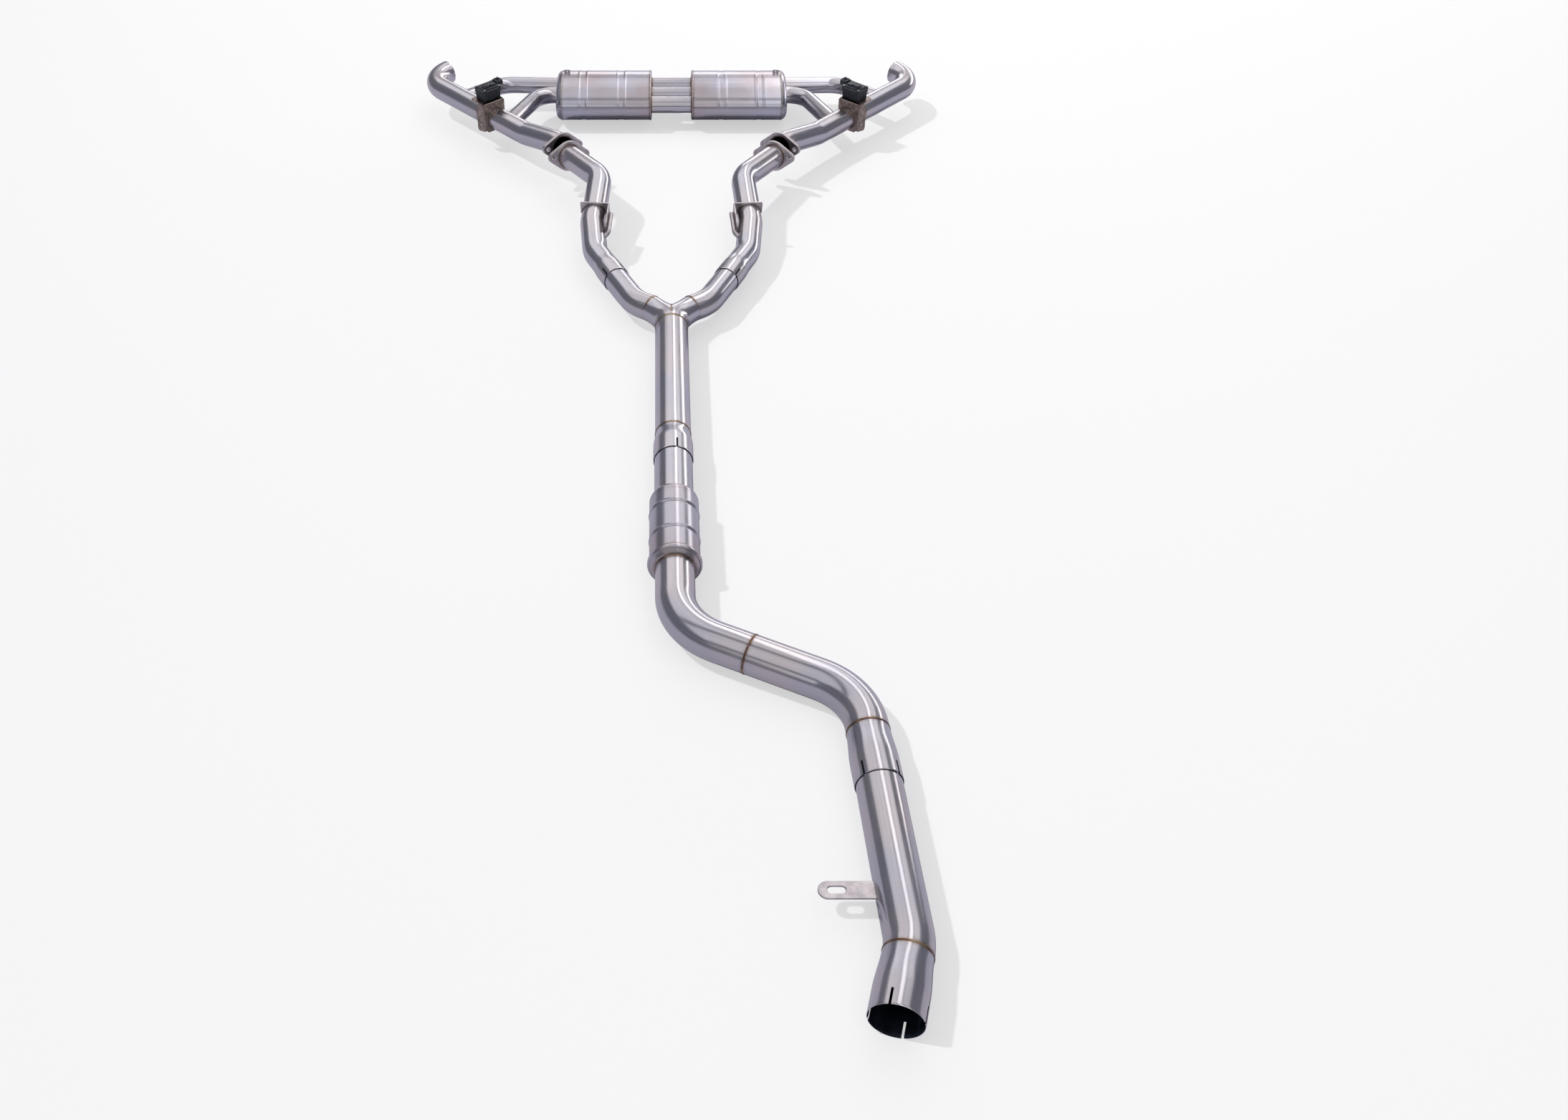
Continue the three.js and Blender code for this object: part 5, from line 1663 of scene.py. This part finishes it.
class EXHAUST_OT_studio(MakePieces, bpy.types.Operator):
    """Pale floor, a bank of soft panels overhead, one soft key light and the camera"""

    bl_idname = "exhaust.studio"
    bl_label = "Studio"

    def make(self, context):
        stage = context.scene.exhaust_stage
        self.make_floor()
        self.make_panels(stage)
        key = bpy.data.lights.new("key_light", "SUN")
        key.energy, key.angle = stage.key_strength, KEY_ANGLE
        key_object = bpy.data.objects.new("key_light", key)
        key_object.rotation_euler = Vector(KEY_DIRECTION).to_track_quat("Z", "Y").to_euler()
        key_object.visible_glossy = False
        context.scene.collection.objects.link(key_object)
        self.make_world(context, stage)
        lens = bpy.data.cameras.new("camera")
        lens.lens, lens.sensor_width = stage.focal_length, 36.0
        lens.shift_x = stage.sideways_shift
        lens.clip_start, lens.clip_end = 0.05, 60.0
        camera = bpy.data.objects.new("camera", lens)
        camera.location = (0.0, -stage.camera_distance, stage.camera_height)
        camera.rotation_euler = (math.radians(90) - stage.look_down, 0.0, 0.0)
        context.scene.collection.objects.link(camera)
        context.scene.camera = camera
        context.scene.view_settings.view_transform = "Standard"

    def make_floor(self):
        half, count = 40.0, 8
        ticks = np.linspace(-half, half, count + 1)
        points = [(x, y, 0.0) for y in ticks for x in ticks]
        index = np.arange((count + 1) ** 2).reshape(count + 1, count + 1)
        corners = [index[:-1, :-1], index[:-1, 1:], index[1:, 1:], index[1:, :-1]]
        mesh = bpy.data.meshes.new("floor")
        mesh.from_pydata(points, [], np.stack(corners, axis=-1).reshape(-1, 4).tolist())
        mesh.materials.append(finish(studio_floor))
        floor = bpy.data.objects.new("floor", mesh)
        bpy.context.scene.collection.objects.link(floor)

    def make_panels(self, stage):
        """Soft panels overhead in four rows of three columns, whose gaps leave dark lines in the metal. A
        low strip behind draws a bright line on far edges, and a dim panel in front lifts the faces turned
        to the camera."""
        for left, right, column_share in PANEL_COLUMNS:
            for front, back, row_share in PANEL_ROWS:
                place = ((left + right) / 2, (front + back) / 2, stage.panel_height)
                radiance = stage.panel_radiance * column_share * row_share
                self.make_panel("panel", right - left, back - front, radiance, place)
        strip = self.make_panel("edge_strip", 8.0, 1.0, stage.strip_radiance, (2.6, 5.4, 1.15))
        fill = self.make_panel("front_fill", 9.0, 2.2, 0.5 * stage.panel_radiance, (0.0, -6.5, 2.9))
        for panel in (strip, fill):
            panel.rotation_euler = Vector(panel.location).to_track_quat("Z", "Y").to_euler()

    def make_panel(self, name, width, length, radiance, place):
        """A soft panel of the given radiance: its power is radiance x pi x width x length."""
        panel = bpy.data.lights.new(name, "AREA")
        panel.shape, panel.size, panel.size_y = "RECTANGLE", width, length
        panel.energy = radiance * math.pi * width * length
        panel.color = (1.0, 0.97, 0.972)
        obj = bpy.data.objects.new(name, panel)
        obj.location = place
        bpy.context.scene.collection.objects.link(obj)
        return obj

    def make_world(self, context, stage):
        """Dim walls as the metal mirrors them, which look as pale as the floor behind the object."""
        world = bpy.data.worlds.new("studio_walls")
        world.use_nodes = True
        tree = world.node_tree
        background = next(node for node in tree.nodes if node.type == "BACKGROUND")
        direct = add_node(tree, "LightPath", "Is Camera Ray", {})
        walls = opaque(channel * stage.wall_strength for channel in stage.walls)
        tree.links.new(blended(tree, direct, walls, linear("F2F2F3")), background.inputs["Color"])
        context.scene.world = world


OPERATORS = (
    EXHAUST_OT_studio, EXHAUST_OT_front_pipe, EXHAUST_OT_s_pipe, EXHAUST_OT_resonator, EXHAUST_OT_y_pipe,
    EXHAUST_OT_mid_pipes, EXHAUST_OT_mid_hangers, EXHAUST_OT_flanges, EXHAUST_OT_rear_pipes,
    EXHAUST_OT_mufflers, EXHAUST_OT_valves, EXHAUST_OT_actuator_brackets, EXHAUST_OT_actuators,
    EXHAUST_OT_welds,
)


def colour_property(name, description, hex_colour):
    return FloatVectorProperty(
        name=name, description=description, subtype="COLOR", size=3, min=0.0, max=1.0,
        default=linear(hex_colour)[:3],
    )


class ExhaustTubes(bpy.types.PropertyGroup):
    """Sizes of the tube surfaces and of the weld beads"""

    columns: IntProperty(
        name="Tube Columns", description="Faces round the widest tube", default=80, min=24, max=256)
    bead_half_width: FloatProperty(
        name="Bead Half Width", description="Half a weld bead's width, in mm", default=2.1)
    bead_height: FloatProperty(
        name="Bead Height", description="How far a weld bead stands proud, in mm", default=0.8)
    ripple_pitch: FloatProperty(
        name="Ripple Pitch", description="From one weld ripple to the next, in mm", default=2.7)


class ExhaustFinishes(bpy.types.PropertyGroup):
    """Colours of the metals and plastics"""

    steel: colour_property("Tube Steel", "The warm side of the brushed tube's colour", "CBC6C8")
    cool_steel: colour_property("Cool Steel", "The cool side of the brushed tube's colour", "BFC1CC")
    can_steel: colour_property("Can Steel", "The brushed muffler sheet", "B9B1B4")
    # The bore's colour is painted shade: it stands for the dark inside the tubes and cans.
    bore: colour_property("Bore", "The inside of the tubes", "14181F")
    bracket: colour_property("Bracket Sheet", "The folded bracket sheet", "A99C93")
    nylon: colour_property("Actuator Nylon", "The moulded actuator", "121519")


class ExhaustStage(bpy.types.PropertyGroup):
    """Floor, lights and camera"""

    floor: colour_property("Floor", "The floor's own surface", "9A9A9A")
    floor_glow: FloatProperty(
        name="Floor Glow", description="How bright the light box below is", default=0.55)
    floor_in_metal: colour_property("Floor in Metal", "The floor as the metal mirrors it", "B4B2BC")
    walls: colour_property("Walls", "The dim studio round the object", "B4B5C2")
    wall_strength: FloatProperty(
        name="Wall Strength", description="How bright the studio's walls are", default=0.42)
    panel_radiance: FloatProperty(
        name="Panel Radiance", description="How bright the soft panels are", default=1.6)
    panel_height: FloatProperty(
        name="Panel Height", description="Height of the panels", default=3.0,
        unit="LENGTH", subtype="DISTANCE")
    strip_radiance: FloatProperty(
        name="Edge Strip Radiance", description="How bright the low strip behind the object is", default=2.6)
    key_strength: FloatProperty(name="Key Strength", description="Strength of the key light", default=2.0)
    camera_height: FloatProperty(
        name="Camera Height", description="Height above the floor", default=1.83,
        unit="LENGTH", subtype="DISTANCE")
    camera_distance: FloatProperty(
        name="Camera Distance", description="Distance in front of the middle", default=2.501, unit="LENGTH",
        subtype="DISTANCE")
    look_down: FloatProperty(
        name="Look Down", description="The camera's angle below the horizon", default=math.radians(42),
        subtype="ANGLE")
    focal_length: FloatProperty(
        name="Focal Length", description="On a 36 mm wide sensor, in mm", default=34.55)
    sideways_shift: FloatProperty(name="Sideways Shift", description="Lens shift to the side", default=0.0718)


SETTINGS = (
    ("exhaust_tubes", ExhaustTubes), ("exhaust_finishes", ExhaustFinishes), ("exhaust_stage", ExhaustStage),
)


class EXHAUST_PT_system(bpy.types.Panel):
    """Lists the pieces' operators and their settings"""

    bl_idname = "EXHAUST_PT_system"
    bl_label = "Exhaust System"
    bl_space_type = "VIEW_3D"
    bl_region_type = "UI"
    bl_category = "Exhaust"

    def draw(self, context):
        for operator in OPERATORS:
            self.layout.operator(operator.bl_idname)
        for name, group in SETTINGS:
            box = self.layout.box()
            for setting in group.__annotations__:
                box.prop(getattr(context.scene, name), setting)


def register():
    for name, group in SETTINGS:
        bpy.utils.register_class(group)
        setattr(bpy.types.Scene, name, PointerProperty(type=group))
    for operator in OPERATORS:
        bpy.utils.register_class(operator)
    bpy.utils.register_class(EXHAUST_PT_system)


def unregister():
    bpy.utils.unregister_class(EXHAUST_PT_system)
    for operator in reversed(OPERATORS):
        bpy.utils.unregister_class(operator)
    for name, group in reversed(SETTINGS):
        delattr(bpy.types.Scene, name)
        bpy.utils.unregister_class(group)


def main():
    register()
    for operator in OPERATORS:
        family, name = operator.bl_idname.split(".")
        getattr(getattr(bpy.ops, family), name)()


if __name__ == "__main__":
    main()
